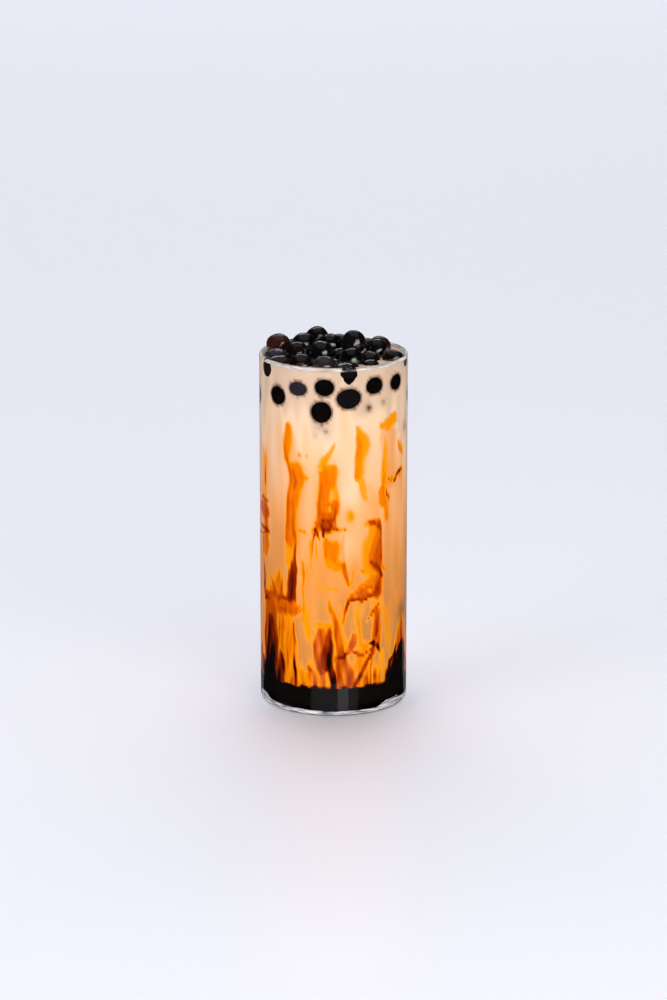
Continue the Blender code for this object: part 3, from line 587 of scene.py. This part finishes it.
def paint_drink(piece, pearls):
    """Paints a piece of the drink: how much syrup, cream, painted shade round the pearls and brown each point
    shows; the cream value also carries painted shade at the top and bottom.
    """
    spots = np.empty(len(piece.data.vertices) * 3)
    piece.data.vertices.foreach_get("co", spots)
    spots = spots.reshape(-1, 3) / MM
    along = np.arctan2(spots[:, 0], -spots[:, 1]) * INNER_RADIUS / MM
    high = spots[:, 2]
    across = along + 0.5 * ripple(along, high, 10, 18, 1) + 0.2 * ripple(along, high, 3, 8, 2)
    up = high + 0.6 * ripple(along, high, 7, 12, 3) + 0.1 * ripple(along, high, 2.5, 6, 4)
    film = 1.3 * np.clip((12.2 + 0.5 * ripple(along, high, 6, 90, 7) - high) / 1.5 + 0.5, 0, 1)
    for group in (LEFT_STREAKS, LEFT_EDGE, MIDDLE_STREAKS, RIGHT_STREAKS, FOOT_STREAKS):
        for depth, soft_left, soft_right, path in group:
            lay_stroke(film, across, up, depth, SOFTER * soft_left, SOFTER * soft_right, path)
    for group, turn, mirror, climb in TURNED:
        for depth, soft_left, soft_right, path in group:
            moved = [(turn + mirror * s, z + climb, width) for s, z, width in path]
            if min(abs(s) for s, _, _ in moved) > FRONT:
                for whole_turn in (-GIRTH, 0, GIRTH):
                    again = [(s + whole_turn, z, width) for s, z, width in moved]
                    lay_stroke(
                        film, across, up, depth, SOFTER * soft_left, SOFTER * soft_right, again)
    # The tongues of syrup behind, each in three strokes from brown to black
    for middle, half_width, rise in TONGUES[3:]:
        for whole_turn in (-360, 0, 360):
            s = math.radians(middle + whole_turn) * INNER_RADIUS / MM
            half = math.radians(half_width) * INNER_RADIUS / MM
            for depth, wider, higher in ((0.74, 2.4, 8), (0.9, 1.2, 4), (1.2, 0.2, 1)):
                lay_stroke(film, across, up, depth, 2.2, 2.2, [
                    (s, 11 + rise / MM + higher, 0.6 + wider / 2), (s, 12, 0.8 * half + wider)])
    # Lower down the film is deepened, painted shade that darkens the drink towards the bottom; the syrup lies
    # in washes on the milk and turns it amber at the bottom
    film *= 1 + np.clip((50 - high) / 26, 0, 1) * (0.17 + 0.18 * ripple(along, high, 4.2, 15, 5))
    wash = 0.42 * np.clip((68 - high) / 24, 0, 1) * np.clip(
        0.1 + 1.2 * ripple(along, high, 6.5, 26, 11) + 0.3 * ripple(along, high, 3.2, 12, 12), 0, 1)
    amber = 0.57 * np.clip((28 - high) / 12, 0, 1) * (0.86 + 0.5 * ripple(along, high, 4.2, 15, 5))
    film = np.maximum(film, np.maximum(wash, amber))
    # Round each pearl the milk is painted black and, further out, brown, and dark over each sunk pearl:
    # painted shade
    stain, brown = np.zeros(len(spots)), np.zeros(len(spots))
    for angle, height, width, tall in pearls:
        off = (along - angle * INNER_RADIUS / MM + GIRTH / 2) % GIRTH - GIRTH / 2
        ring = np.hypot(off / (width / MM / 2), (high - height / MM) / (tall / MM / 2))
        edge = np.maximum(ring - 0.98 - 0.05 * ripple(along, high, 2.2, 2.6, 9), 0) * 7
        stain = np.maximum(stain, 0.8 * np.exp(-(edge / 0.34) ** 1.2))
        brown = np.maximum(brown, 0.8 * np.exp(-(edge / 0.8) ** 1.2))
    for s, z, half, dark, warm in SUNK:
        away = np.hypot(along - s, high - z)
        spot = dark * np.exp(-(away / half) ** 2) + 0.3 * dark * np.exp(-(away / half / 2.4) ** 2)
        stain = np.maximum(stain, np.clip(spot, 0, 1))
        brown = np.maximum(brown, warm * np.exp(-(away / half / 1.4) ** 2))
    # From the bottom up the milk turns creamier; the ramp that reads this turns its lowest and highest ends
    # darker, as painted shade
    creamy = (high - 12) / 136 + 0.05 * ripple(along, high, 8, 60, 5)
    creamy += 0.08 * ripple(along, high, 20, 30, 6)
    for s, z, half, half_tall, more in CREAMY_PATCHES:
        creamy += more * np.exp(-((along - s) / half) ** 2 - ((high - z) / half_tall) ** 2)
    creamy = np.clip(creamy, 0, 1)
    painted = {"syrup film": film, "stain": stain, "brown": brown, "creamy": creamy}
    for name, values in painted.items():
        piece.data.attributes.new(name, "FLOAT", "POINT").data.foreach_set("value", values)


def drink_colour(material):
    """The colour of the drink's skin, from how much of everything its points were painted with."""
    # Fibres of syrup run down the wall: 2.4 mm apart and about 12 mm long
    fibres = add_node(material, "TexNoise", sockets={
        "Vector": add_node(material, "Mapping", sockets={
            "Vector": add_node(material, "TexCoord").outputs["Object"], "Scale": (1, 1, 0.2),
        }).outputs["Vector"], "Scale": 1 / 0.0024, "Detail": 4, "Roughness": 0.6})
    swing = add_node(material, "MapRange", sockets={
        "Value": fibres.outputs["Fac"], "From Min": 0.28, "From Max": 0.72,
        "To Min": 0.91, "To Max": 1.08})
    film = add_node(material, "Math", {"operation": "MULTIPLY"}, {
        0: add_node(material, "Attribute", {"attribute_name": "syrup film"}).outputs["Fac"],
        1: swing.outputs["Result"]})
    film_tint = add_node(material, "ValToRGB", {"stops": [
        (0.10, "EFA860"), (0.25, "F1A048"), (0.40, "F8A410"), (0.49, "F18E00"),
        (0.57, "E67800"), (0.66, "CE5801"), (0.74, "AC3E00"), (0.82, "862200"),
        (0.90, "541500"), (0.96, "280B02"), (1.0, "0A0605")]}, {"Fac": film.outputs[0]})
    cover = add_node(material, "MapRange", {"interpolation_type": "SMOOTHSTEP"}, {
        "Value": film.outputs[0], "From Min": 0.03, "From Max": 0.40})
    # Peach low down and cream high up; the lowest stops are darker as painted shade towards the bottom, and
    # the top stops as painted shade under the brim
    milk_tint_and_shade = add_node(material, "ValToRGB", {"stops": [
        (0.0, "C6843E"), (0.17, "D29046"), (0.33, "E29C50"), (0.48, "EEAC66"), (0.62, "F3BC84"),
        (0.76, "F2CCA4"), (0.84, "F2D6B8"), (0.93, "E0C4A9"), (1.0, "E0C4AB")]}, {
        "Fac": add_node(material, "Attribute", {"attribute_name": "creamy"}).outputs["Fac"]})
    streaked = add_node(material, "Mix", {"data_type": "RGBA"}, {
        "Factor": cover.outputs["Result"], "A": milk_tint_and_shade.outputs["Color"],
        "B": film_tint.outputs["Color"]})
    # Painted shade: the milk darkens to black and brown round each pearl and over the sunk ones
    pearl_shade_tint = add_node(material, "Mix", {"data_type": "RGBA"}, {
        "Factor": add_node(material, "Attribute", {"attribute_name": "brown"}).outputs["Fac"],
        "A": colour("241C20"), "B": colour("5A2010")})
    pearl_shaded = add_node(material, "Mix", {"data_type": "RGBA"}, {
        "Factor": add_node(material, "Attribute", {"attribute_name": "stain"}).outputs["Fac"],
        "A": streaked.outputs[2], "B": pearl_shade_tint.outputs[2]})
    return pearl_shaded.outputs[2]


def syrup_top(angle, radius):
    """Height of the syrup's surface: a gently waving layer with tongues up the wall."""
    radius = min(radius, FILL_RADIUS)
    height = SYRUP_LEVEL + SYRUP_WAVE * math.sin(3 * angle + 1) * radius / FILL_RADIUS
    near_wall = max(0.0, 1 - (FILL_RADIUS - radius) / TONGUE_REACH) ** 2
    for middle, half_width, rise in TONGUES:
        off = (angle - math.radians(middle) + math.pi) % (2 * math.pi) - math.pi
        height += rise * near_wall * math.exp(-((off / math.radians(half_width)) ** 2))
    return height


def ragged(angle):
    """How far the syrup's edge at the wall strays from its surface, from point to point."""
    place = Vector((math.sin(angle), -math.cos(angle), 0.3)) * 6
    return 0.7 * MM * noise.fractal(place, 0.8, 2.0, 3)


corner = CORNER_ROUND + 0.05 * MM
syrup_profile = [(2 * MM, BASE - 0.05 * MM), (14 * MM, BASE - 0.05 * MM)]
syrup_profile += arc(
    (INNER_RADIUS - CORNER_ROUND, BASE + CORNER_ROUND), corner, -90, 0, 8)
WALL_STEPS = 46
wall_from = syrup_profile[-1][1]
syrup_profile += [(WETS, wall_from + step * MM) for step in range(1, WALL_STEPS + 1)]
top_of_steps = syrup_profile[-1][1]
syrup_profile += [(WETS * share, top_of_steps) for share in (
    0.985, 0.96, 0.93, 0.89, 0.84, 0.78, 0.7, 0.6, 0.45, 0.28, 0.1)]
syrup = turn_profile("brown_sugar_syrup", syrup_profile, DRINK_SIDES)
for vert in syrup.data.vertices:
    radius = math.hypot(vert.co.x, vert.co.y)
    angle = math.atan2(vert.co.x, -vert.co.y)
    if vert.co.z > wall_from + 0.5 * MM:
        surface = syrup_top(angle, radius) + ragged(angle) * (radius / WETS) ** 8
        share = (vert.co.z - wall_from) / (top_of_steps - wall_from)
        vert.co.z = wall_from + (surface - wall_from) * share
paint_drink(syrup, [])

boiled_sugar = new_finish("brown sugar syrup, boiled thick")
finish_with(boiled_sugar, add_node(boiled_sugar, "BsdfPrincipled", sockets={
    "Base Color": drink_colour(boiled_sugar), "Roughness": 0.25, "Specular IOR Level": 0.03,
}).outputs["BSDF"])
syrup.data.materials.append(boiled_sugar)
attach(syrup, "root")
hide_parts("syrup")


# The pearls against the wall: cooked tapioca, soft, black with brown sugar and pressed flat on
# the glass. The milk round each one is painted darker, as shade.
LEVEL = 148 * MM
WALL_PEARLS = [  # distance along the wall from the front, height, width and height, in mm
    (-25.5, 136.0, 9.3, 9.2),
    (-15.0, 140.3, 8.8, 7.0),
    (-3.7, 141.6, 8.8, 8.4),
    (-5.0, 131.2, 9.3, 10.6),
    (6.2, 136.8, 10.9, 10.0),
    (17.5, 141.3, 8.7, 8.4),
    (30.0, 140.8, 8.4, 8.0),
]
BACK_WALL_PEARLS, BACK_FROM, BACK_TO = 7, 78, 290
WALL_PEARL_DEPTH, WALL_PRESS, SEED = 0.76, 0.5 * MM, 7
PRESSED = INNER_RADIUS + 0.15 * MM  # how far out a pearl that touches the wall is flattened


def wall_pearl_places():
    """Angle, height, width and tallness of each pearl below the level, the front ones first."""
    places = [(x * MM / INNER_RADIUS, z * MM, w * MM, t * MM) for x, z, w, t in WALL_PEARLS]
    draw = random.Random(SEED)
    for index in range(BACK_WALL_PEARLS):
        share = (index + 0.5 + draw.uniform(-0.15, 0.15)) / BACK_WALL_PEARLS
        height = (140.0 if index % 2 else 133.5) + draw.uniform(-1.2, 1.0)
        width, tall = draw.uniform(8.6, 10), draw.uniform(8.2, 9.6)
        angle = math.radians(BACK_FROM + share * (BACK_TO - BACK_FROM))
        places.append((angle, height * MM, width * MM, tall * MM))
    return places


def at_wall(angle, radius, height):
    """A place by its angle from the front, its distance from the axis and its height."""
    return Vector((radius * math.sin(angle), -radius * math.cos(angle), height))


def boil_pearl(name, centre, angle, size, uneven, faces=4, squareness=2.0, lean=0.0):
    """A soft ball, uneven all over, flat where it lies on the glass; size is across, in, up."""
    bpy.ops.object.select_all(action="DESELECT")
    bpy.ops.mesh.primitive_ico_sphere_add(subdivisions=faces, radius=1)
    ball = bpy.context.object
    ball.name = name
    out = at_wall(angle, 1, 0)
    along = Vector((out.y, -out.x, 0))
    shift = centre * 300
    for vert in ball.data.vertices:
        toward = vert.co.normalized()
        lump = noise.noise(toward * 1.1 + shift) + 0.35 * noise.noise(toward * 3.1 - shift)
        x, y, z = toward * (1 + uneven * lump)
        x *= 1 - 1.3 * lean * max(0, -z)
        if y > 0:
            across = math.hypot(x, z)
            y *= (across ** squareness + y ** squareness) ** (-1 / squareness)
        spot = centre + along * x * size[0] / 2 + out * y * size[1] / 2
        spot += Vector((0, 0, z * size[2] / 2)) + out * lean * z * size[2] / 2
        from_axis = math.hypot(spot.x, spot.y)
        if from_axis > PRESSED:
            spot.x, spot.y = spot.x * PRESSED / from_axis, spot.y * PRESSED / from_axis
        vert.co = spot
    return ball


def join_pieces(name, parts):
    """Joins objects into one smooth piece."""
    bpy.ops.object.select_all(action="DESELECT")
    for part in parts:
        part.select_set(True)
    bpy.context.view_layer.objects.active = parts[0]
    bpy.ops.object.join()
    piece = bpy.context.object
    piece.name = name
    bpy.ops.object.shade_smooth()
    return piece


def tint_all(ball, name, value):
    """Gives each of a pearl's points the same value, so that one finish shows them all."""
    attribute = ball.data.attributes.new(name, "FLOAT", "POINT")
    attribute.data.foreach_set("value", [value] * len(ball.data.vertices))


wall_places = wall_pearl_places()
WALL_PEARL_PALENESS = [0.0, 0.35, 0.0, 0.0, 0.05, 0.0, 0.0, 0.2, 0.0, 0.4, 0.0, 0.1, 0.0, 0.3]
SHOWS = 1.06  # a pearl is this much wider than the patch of it that touches the glass
# A pearl's widest ring, how thick the squashed pearl is if its back were as flat as its front, and
# how much further its round back reaches
EQUATOR, SQUASHED, BACK_REACH = PRESSED - 1.9 * MM, 4.8 * MM, 2.1
wall_balls = []
for number, (angle, height, width, tall) in enumerate(wall_places):
    ball = boil_pearl(
        f"wall_ball_{number}", at_wall(angle, EQUATOR, height), angle,
        (width * SHOWS, SQUASHED, tall * SHOWS), 0.05, faces=5, squareness=5.0)
    for vert in ball.data.vertices:
        from_axis = math.hypot(vert.co.x, vert.co.y)
        if from_axis < EQUATOR:
            deeper = EQUATOR + (from_axis - EQUATOR) * BACK_REACH
            vert.co.x, vert.co.y = vert.co.x * deeper / from_axis, vert.co.y * deeper / from_axis
    tint_all(ball, "paleness", WALL_PEARL_PALENESS[number])
    wall_balls.append(ball)
# The pointed end of a pearl that is squeezed down between the lip and the milk, in three steps,
# and crumbs of tapioca: distance along the wall, height, width and height, in mm
BITS = [
    (6.3, 147.0, 7.0, 4.8), (6.3, 145.4, 5.2, 4.4), (6.2, 144.1, 2.8, 2.8),
    (31.6, 148.7, 0.8, 0.5), (33.4, 148.9, 0.7, 0.6), (34.6, 148.4, 0.5, 0.5),
    (-33.2, 147.6, 0.8, 0.9), (-34.4, 148.6, 0.6, 0.5), (39.6, 147.2, 1.6, 3.4),
    (8.6, 148.6, 0.5, 0.4), (96, 147.0, 0.8, 0.7),
    (-70, 148.2, 0.9, 0.6), (-88, 139.0, 1.0, 0.9),
]
for s, high, width, tall in BITS:
    angle = s * MM / INNER_RADIUS
    bit = boil_pearl("bit", at_wall(angle, PRESSED - 0.25 * MM, high * MM), angle, (
        width * MM, 0.8 * MM, tall * MM), 0.2, faces=3)
    tint_all(bit, "paleness", 0.0)
    wall_balls.append(bit)
wall_pearls = join_pieces("wall_pearls", wall_balls)


def tapioca_colour(material):
    """Nearly black, mottled by the starch under the skin; some pearls are paler or redder."""
    starch = add_node(material, "TexNoise", sockets={
        "Vector": add_node(material, "TexCoord").outputs["Object"], "Scale": 1 / 0.0035,
        "Detail": 4, "Roughness": 0.6})
    soaked = add_node(material, "ValToRGB", {"stops": [
        (0.3, "050404"), (0.75, "100B0A")]}, {"Fac": starch.outputs["Fac"]})
    greyed = add_node(material, "Mix", {"data_type": "RGBA"}, {
        "Factor": add_node(material, "Attribute", {"attribute_name": "paleness"}).outputs["Fac"],
        "A": soaked.outputs["Color"], "B": colour("43404A")})
    reddened = add_node(material, "Mix", {"data_type": "RGBA"}, {
        "Factor": add_node(material, "Attribute", {"attribute_name": "redness"}).outputs["Fac"],
        "A": greyed.outputs[2], "B": colour("56291C")})
    return reddened.outputs[2]


# Where a pearl is wetted to the glass there is no air between them, so nothing shines there
wetted_tapioca = new_finish("cooked tapioca, wetted to the glass")
finish_with(wetted_tapioca, add_node(wetted_tapioca, "BsdfPrincipled", sockets={
    "Base Color": tapioca_colour(wetted_tapioca), "Roughness": 0.5, "Specular IOR Level": 0.01,
}).outputs["BSDF"])
wall_pearls.data.materials.append(wetted_tapioca)
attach(wall_pearls, "root")
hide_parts(*[f"wall_pearl_{number:02d}" for number in range(1, 15)])


# The heap: the same pearls, floated up and piled above the brim over the ones that hold them
# up. Each is soft, uneven and wet; a few are browner, and one pressed on the lip is matt.
SEEN_PEARLS = [  # x, y, height of the top above the rim, width and height, in mm
    (-22.7, 7.4, 5.8, 9.4, 9.2),
    (-12.6, 3.0, 7.0, 10.6, 10.4),
    (-7.1, 11.5, 8.1, 9.8, 10.4),
    (-1.5, 4.4, 6.8, 10.2, 10.0),
    (8.4, 0.4, 9.1, 10.3, 10.8),
    (2.4, 13.2, 4.6, 9.8, 9.6),
    (18.6, 12.6, 3.6, 10.0, 9.8),
    (18.0, 2.5, 4.9, 9.4, 9.6),
    (-23.4, 0.4, 1.6, 9.8, 8.4),
    (-15.6, -4.6, 5.1, 10.2, 9.8),
    (-5.2, -5.6, 6.1, 10.9, 10.8),
    (-21.6, -9.8, 1.4, 10.0, 10.0),
    (-13.8, -14.4, 2.5, 11.0, 9.8),
    (-3.0, -19.4, 2.6, 10.4, 8.8),
    (5.9, -22.2, 1.2, 12.2, 9.0),
    (7.4, -11.6, 4.2, 10.4, 10.4),
    (14.9, -5.6, 1.5, 9.8, 9.6),
    (15.4, -14.2, -0.6, 8.8, 8.8),
    (24.2, -2.4, 1.2, 8.2, 8.2),
]
PEARL, SOFTNESS, CRUSH, SETTLE_ROUNDS = 10.2, 0.94, 0.87, 120
RIM_RING = (14, 23.4, 1.6, 16)  # how many, radius, top above the rim, angle of the first
HOLLOW_RINGS, HOLLOW_STEP = [3.0, 7.5, 12.0, 16.5, 20.5, 23.4], 2.0
HIGHEST_TOP, TOP_STEP, STAND_OUT, DEEPEST_TOP = 4.0, 0.5, 0.3, -4.0
FREE_DISTANCE, RISE, GAP = 8.0, 0.6 * MM, 0.3 * MM
TOO_FAR = 13 * MM  # pearls further apart than this never touch
CORE = [(0, -9), (14.5, -9), (21.5, -4), (23.2, -1.7), (18.5, -1.6), (13, -0.8), (6.5, 0), (0, 0.2)]


def body_of(x, y, top, width, tall):
    """A pearl of the heap, from millimetres: its middle, and its size across, in and up."""
    return Vector((x * MM, y * MM, HEIGHT + (top - tall / 2) * MM)), (
        width * MM, width * MM, tall * MM)


def is_free(spot, taken):
    """Whether a spot is far enough from every pearl that is there already."""
    return all((spot[0] - middle).length > FREE_DISTANCE * MM for middle, _ in taken)


def rim_pearls(taken):
    """Pearls for the places of the rim's ring that none has taken yet."""
    count, radius, top, first = RIM_RING
    spots = [at_wall(math.radians(first + 360 * n / count), radius, top) for n in range(count)]
    pearls = [body_of(*spot, PEARL, PEARL) for spot in spots]
    return [one for one in pearls if is_free(one, taken)]


def core_top(radius):
    """Height above the rim of the heap's packed middle, at a distance from its axis."""
    upper_side = CORE[CORE.index(max(CORE)):]
    for (outer, low), (inner, high) in zip(upper_side, upper_side[1:]):
        if radius >= inner:
            return high + (low - high) * (radius - inner) / (outer - inner)
    return upper_side[-1][1]


def hollow_pearls(taken, lowest):
    """Pearls that float up into the hollows between the others, down to a lowest top."""
    pearls = []
    for radius in HOLLOW_RINGS:
        count = int(2 * math.pi * radius / HOLLOW_STEP)
        for index in range(count):
            top = HIGHEST_TOP
            while top > lowest(radius):
                spot = body_of(*at_wall(2 * math.pi * index / count, radius, top), PEARL, PEARL)
                if is_free(spot, taken + pearls):
                    pearls.append(spot)
                top -= TOP_STEP
    return pearls


def reach(toward, place, sizes):
    """How far a pearl of the size given, across, in and up, reaches from its middle."""
    out = Vector((place.x, place.y, 0)).normalized()
    along = Vector((out.y, -out.x, 0))
    parts = (toward.dot(along), toward.dot(out), toward.z)
    return 0.5 / math.sqrt(sum((part / size) ** 2 for part, size in zip(parts, sizes)))


def push_from(pearl_here, other, press, extra, share):
    """Moves a pearl away from another until they only press into each other as allowed."""
    (place, sizes), (far, far_sizes) = pearl_here, other
    toward = far - place
    if toward.length > TOO_FAR:
        return
    toward.normalize()
    apart = press * (reach(toward, place, sizes) + reach(toward, far, far_sizes)) + extra
    short = apart - (far - place).length
    if short > 0:
        place -= toward * short * share


def settle(moving, still, wall, press):
    """Lets pearls press apart until neighbours only dent each other, inside the glass."""
    highest = [place.z + RISE for place, _ in moving]
    for _ in range(SETTLE_ROUNDS):
        for one, limit in zip(moving, highest):
            for other in moving:
                if other is not one:
                    push_from(one, other, press, 0, 0.25)
            for other in still:
                push_from(one, other, press, 0, 0.5)
            for other in wall:
                push_from(one, other, 1, 2 * GAP, 1)
            place, sizes = one
            room = FILL_RADIUS - sizes[0] / 2
            across = max(math.hypot(place.x, place.y), room)
            place.x, place.y = place.x * room / across, place.y * room / across
            place.z = min(place.z, limit)


still_wall = [
    (at_wall(angle, FILL_RADIUS + WALL_PRESS - WALL_PEARL_DEPTH * width / 2, height),
     (width, WALL_PEARL_DEPTH * width, tall))
    for angle, height, width, tall in wall_places
]
upper = [body_of(*pearl) for pearl in SEEN_PEARLS]
upper += rim_pearls(upper)
settle(upper, [], still_wall, SOFTNESS)
lower = hollow_pearls(upper, lambda radius: core_top(radius) + STAND_OUT)
settle(lower, upper, still_wall, CRUSH)
deep = hollow_pearls(upper + lower, lambda radius: DEEPEST_TOP)

# In the air the same pearls are wet and shine, with dents about 3.6 mm apart
cooked_tapioca = new_finish("cooked tapioca in brown sugar, wet")
dents = add_node(cooked_tapioca, "TexNoise", sockets={
    "Vector": add_node(cooked_tapioca, "TexCoord").outputs["Object"], "Scale": 1 / 0.0036,
    "Detail": 1, "Roughness": 0.4})
finish_with(cooked_tapioca, add_node(cooked_tapioca, "BsdfPrincipled", sockets={
    "Base Color": tapioca_colour(cooked_tapioca), "Roughness": 0.2, "IOR": 1.45,
    "Coat Weight": 1.0, "Coat Roughness": 0.03, "Coat IOR": 1.55,
    "Normal": add_node(cooked_tapioca, "Bump", sockets={
        "Height": dents.outputs["Fac"], "Strength": 1.0, "Distance": 0.0009,
    }).outputs["Normal"],
}).outputs["BSDF"])

# Which pearls are browner or paler, are pushed against the wall or lean, counted as they are made,
# from 0. Once all have settled, two are moved to where they are seen and two back from the wall
REDNESS = {0: 0.42, 6: 0.22, 13: 0.08, 8: 0.03, 11: 0.1}
PALENESS = {8: 0.3, 13: 0.3}
PUSHED = {11: 2.0 * MM, 14: 0.6 * MM, 18: 1.0 * MM}
LEAN = {11: 0.1, 14: 0.35}  # outwards for each unit of height
NUDGED = {
    14: (-1.4 * MM, 0, 0), 18: (0.2 * MM, -2.6 * MM, 0.8 * MM), 40: (0, 1.6 * MM, 0),
    41: (-1.5 * MM, 0.6 * MM, 0),
}
heap_balls = []
tone = random.Random(SEED)
for number, (middle, sizes) in enumerate(upper + lower + deep):
    middle += Vector(NUDGED.get(number, (0, 0, 0)))
    angle = math.atan2(middle.x, -middle.y)
    from_axis = math.hypot(middle.x, middle.y)
    press = PUSHED.get(number, 0.0)
    in_out = sizes[1]
    if from_axis + sizes[1] / 2 > FILL_RADIUS - 0.6 * MM:
        in_out = 2 * (PRESSED - from_axis + max(press, 0.5 * MM))
    fine = number < len(upper)
    ball = boil_pearl(
        f"ball_{number}", middle, angle, (sizes[0], in_out, sizes[2]), 0.05,
        faces=5 if fine else 4, squareness=2.4 if press else 2.0, lean=LEAN.get(number, 0.0))
    for vert in ball.data.vertices:
        here = math.hypot(vert.co.x, vert.co.y)
        if here < from_axis and in_out > sizes[1]:
            back = from_axis + (here - from_axis) * sizes[1] / in_out
            vert.co.x, vert.co.y = vert.co.x * back / here, vert.co.y * back / here
    tint_all(ball, "paleness", PALENESS.get(number, tone.choice([0, 0, 0, 0.02, 0.04])))
    tint_all(ball, "redness", REDNESS.get(number, tone.choice([0, 0, 0, 0, 0.03])))
    heap_balls.append(ball)
heap = join_pieces("pearl_heap_pearls", heap_balls)
heap.data.materials.append(cooked_tapioca)
heap.data.materials.append(wetted_tapioca)
for face in heap.data.polygons:
    corners = [heap.data.vertices[index].co for index in face.vertices]
    face.material_index = min(math.hypot(c.x, c.y) for c in corners) > PRESSED - 0.02 * MM

core_profile = [
    (1 * MM, HEIGHT - 9 * MM), (14.5 * MM, HEIGHT - 9 * MM), (21.5 * MM, HEIGHT - 6 * MM),
    (22.6 * MM, HEIGHT - 4 * MM), (18.5 * MM, HEIGHT - 3 * MM), (13 * MM, HEIGHT - 2.4 * MM),
    (6.5 * MM, HEIGHT - 2 * MM), (1 * MM, HEIGHT - 1.9 * MM),
]
heap_core = turn_profile("pearl_heap_core", core_profile, 96)
for vert in heap_core.data.vertices:
    vert.co.z += 0.9 * MM * noise.noise(vert.co * 260)
heap_core.data.materials.append(cooked_tapioca)
for piece in (heap, heap_core):
    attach(piece, "root")
    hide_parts("pearl_heap")


# The milk tea: milk on black tea, opaque, poured over the syrup last. It fills the glass to 2 mm
# under the brim, creeps up the wall a little and is streaked all over by the film of syrup.
bpy.ops.object.select_all(action="DESELECT")
bpy.ops.mesh.primitive_cylinder_add(
    vertices=DRINK_SIDES, radius=WETS, depth=LEVEL, end_fill_type="NOTHING",
    location=(0, 0, LEVEL / 2))
milk = bpy.context.object
milk.name = "milk_tea_body"
bpy.ops.object.transform_apply(location=True, rotation=True, scale=True)
MILK_RINGS = 262
bpy.ops.object.mode_set(mode="EDIT")
bpy.ops.mesh.select_mode(type="EDGE")
bpy.ops.mesh.select_all(action="DESELECT")
bpy.ops.object.mode_set(mode="OBJECT")
for edge in milk.data.edges:
    low, high = (milk.data.vertices[index].co.z for index in edge.vertices)
    edge.select = abs(high - low) > LEVEL / 2
bpy.ops.object.mode_set(mode="EDIT")
bpy.ops.mesh.subdivide(number_cuts=MILK_RINGS - 1)
bpy.ops.mesh.select_mode(type="VERT")


def close_end(piece, height, steps):
    """Closes one end of the drink: its ring is extruded inwards step by step, then merged."""
    bpy.ops.mesh.select_all(action="DESELECT")
    bpy.ops.object.mode_set(mode="OBJECT")
    for vert in piece.data.vertices:
        vert.select = abs(vert.co.z - height) < 0.01 * MM
    bpy.ops.object.mode_set(mode="EDIT")
    radius = WETS
    for share in steps:
        bpy.ops.mesh.extrude_region_move()
        shrink = WETS * share / radius
        bpy.ops.transform.resize(value=(shrink, shrink, 1), center_override=(0, 0, height))
        radius = WETS * share
    bpy.ops.mesh.merge(type="CENTER")


close_end(milk, LEVEL, (0.992, 0.98, 0.965, 0.945, 0.92, 0.88, 0.82, 0.7, 0.5, 0.3, 0.1))
close_end(milk, 0, (0.985, 0.96, 0.93, 0.89, 0.84, 0.78, 0.7, 0.6, 0.45, 0.28, 0.1))
bpy.ops.mesh.select_all(action="SELECT")
bpy.ops.mesh.normals_make_consistent(inside=False)
bpy.ops.object.mode_set(mode="OBJECT")
bpy.ops.object.shade_smooth_by_angle(angle=math.radians(50))
MENISCUS, OVERLAP = 0.9 * MM, 0.4 * MM
for vert in milk.data.vertices:
    radius = math.hypot(vert.co.x, vert.co.y)
    angle = math.atan2(vert.co.x, -vert.co.y)
    surface = syrup_top(angle, radius) + ragged(angle) * (radius / WETS) ** 8
    share = vert.co.z / LEVEL
    top = LEVEL + MENISCUS * max(0.0, 1 - (WETS - radius) / (1.8 * MM)) ** 2
    top += 0.25 * MM * noise.noise(Vector((vert.co.x, vert.co.y, 0)) * 300)
    low = surface - OVERLAP * (WETS - radius > 0.01 * MM)
    vert.co.z = low + (top - low) * share

paint_drink(milk, wall_places)

milk_and_tea = new_finish("milk tea streaked with syrup")
finish_with(milk_and_tea, add_node(milk_and_tea, "BsdfPrincipled", sockets={
    "Base Color": drink_colour(milk_and_tea), "Roughness": 0.3, "Specular IOR Level": 0.02,
}).outputs["BSDF"])
milk.data.materials.append(milk_and_tea)
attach(milk, "root")
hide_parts("milk_tea")
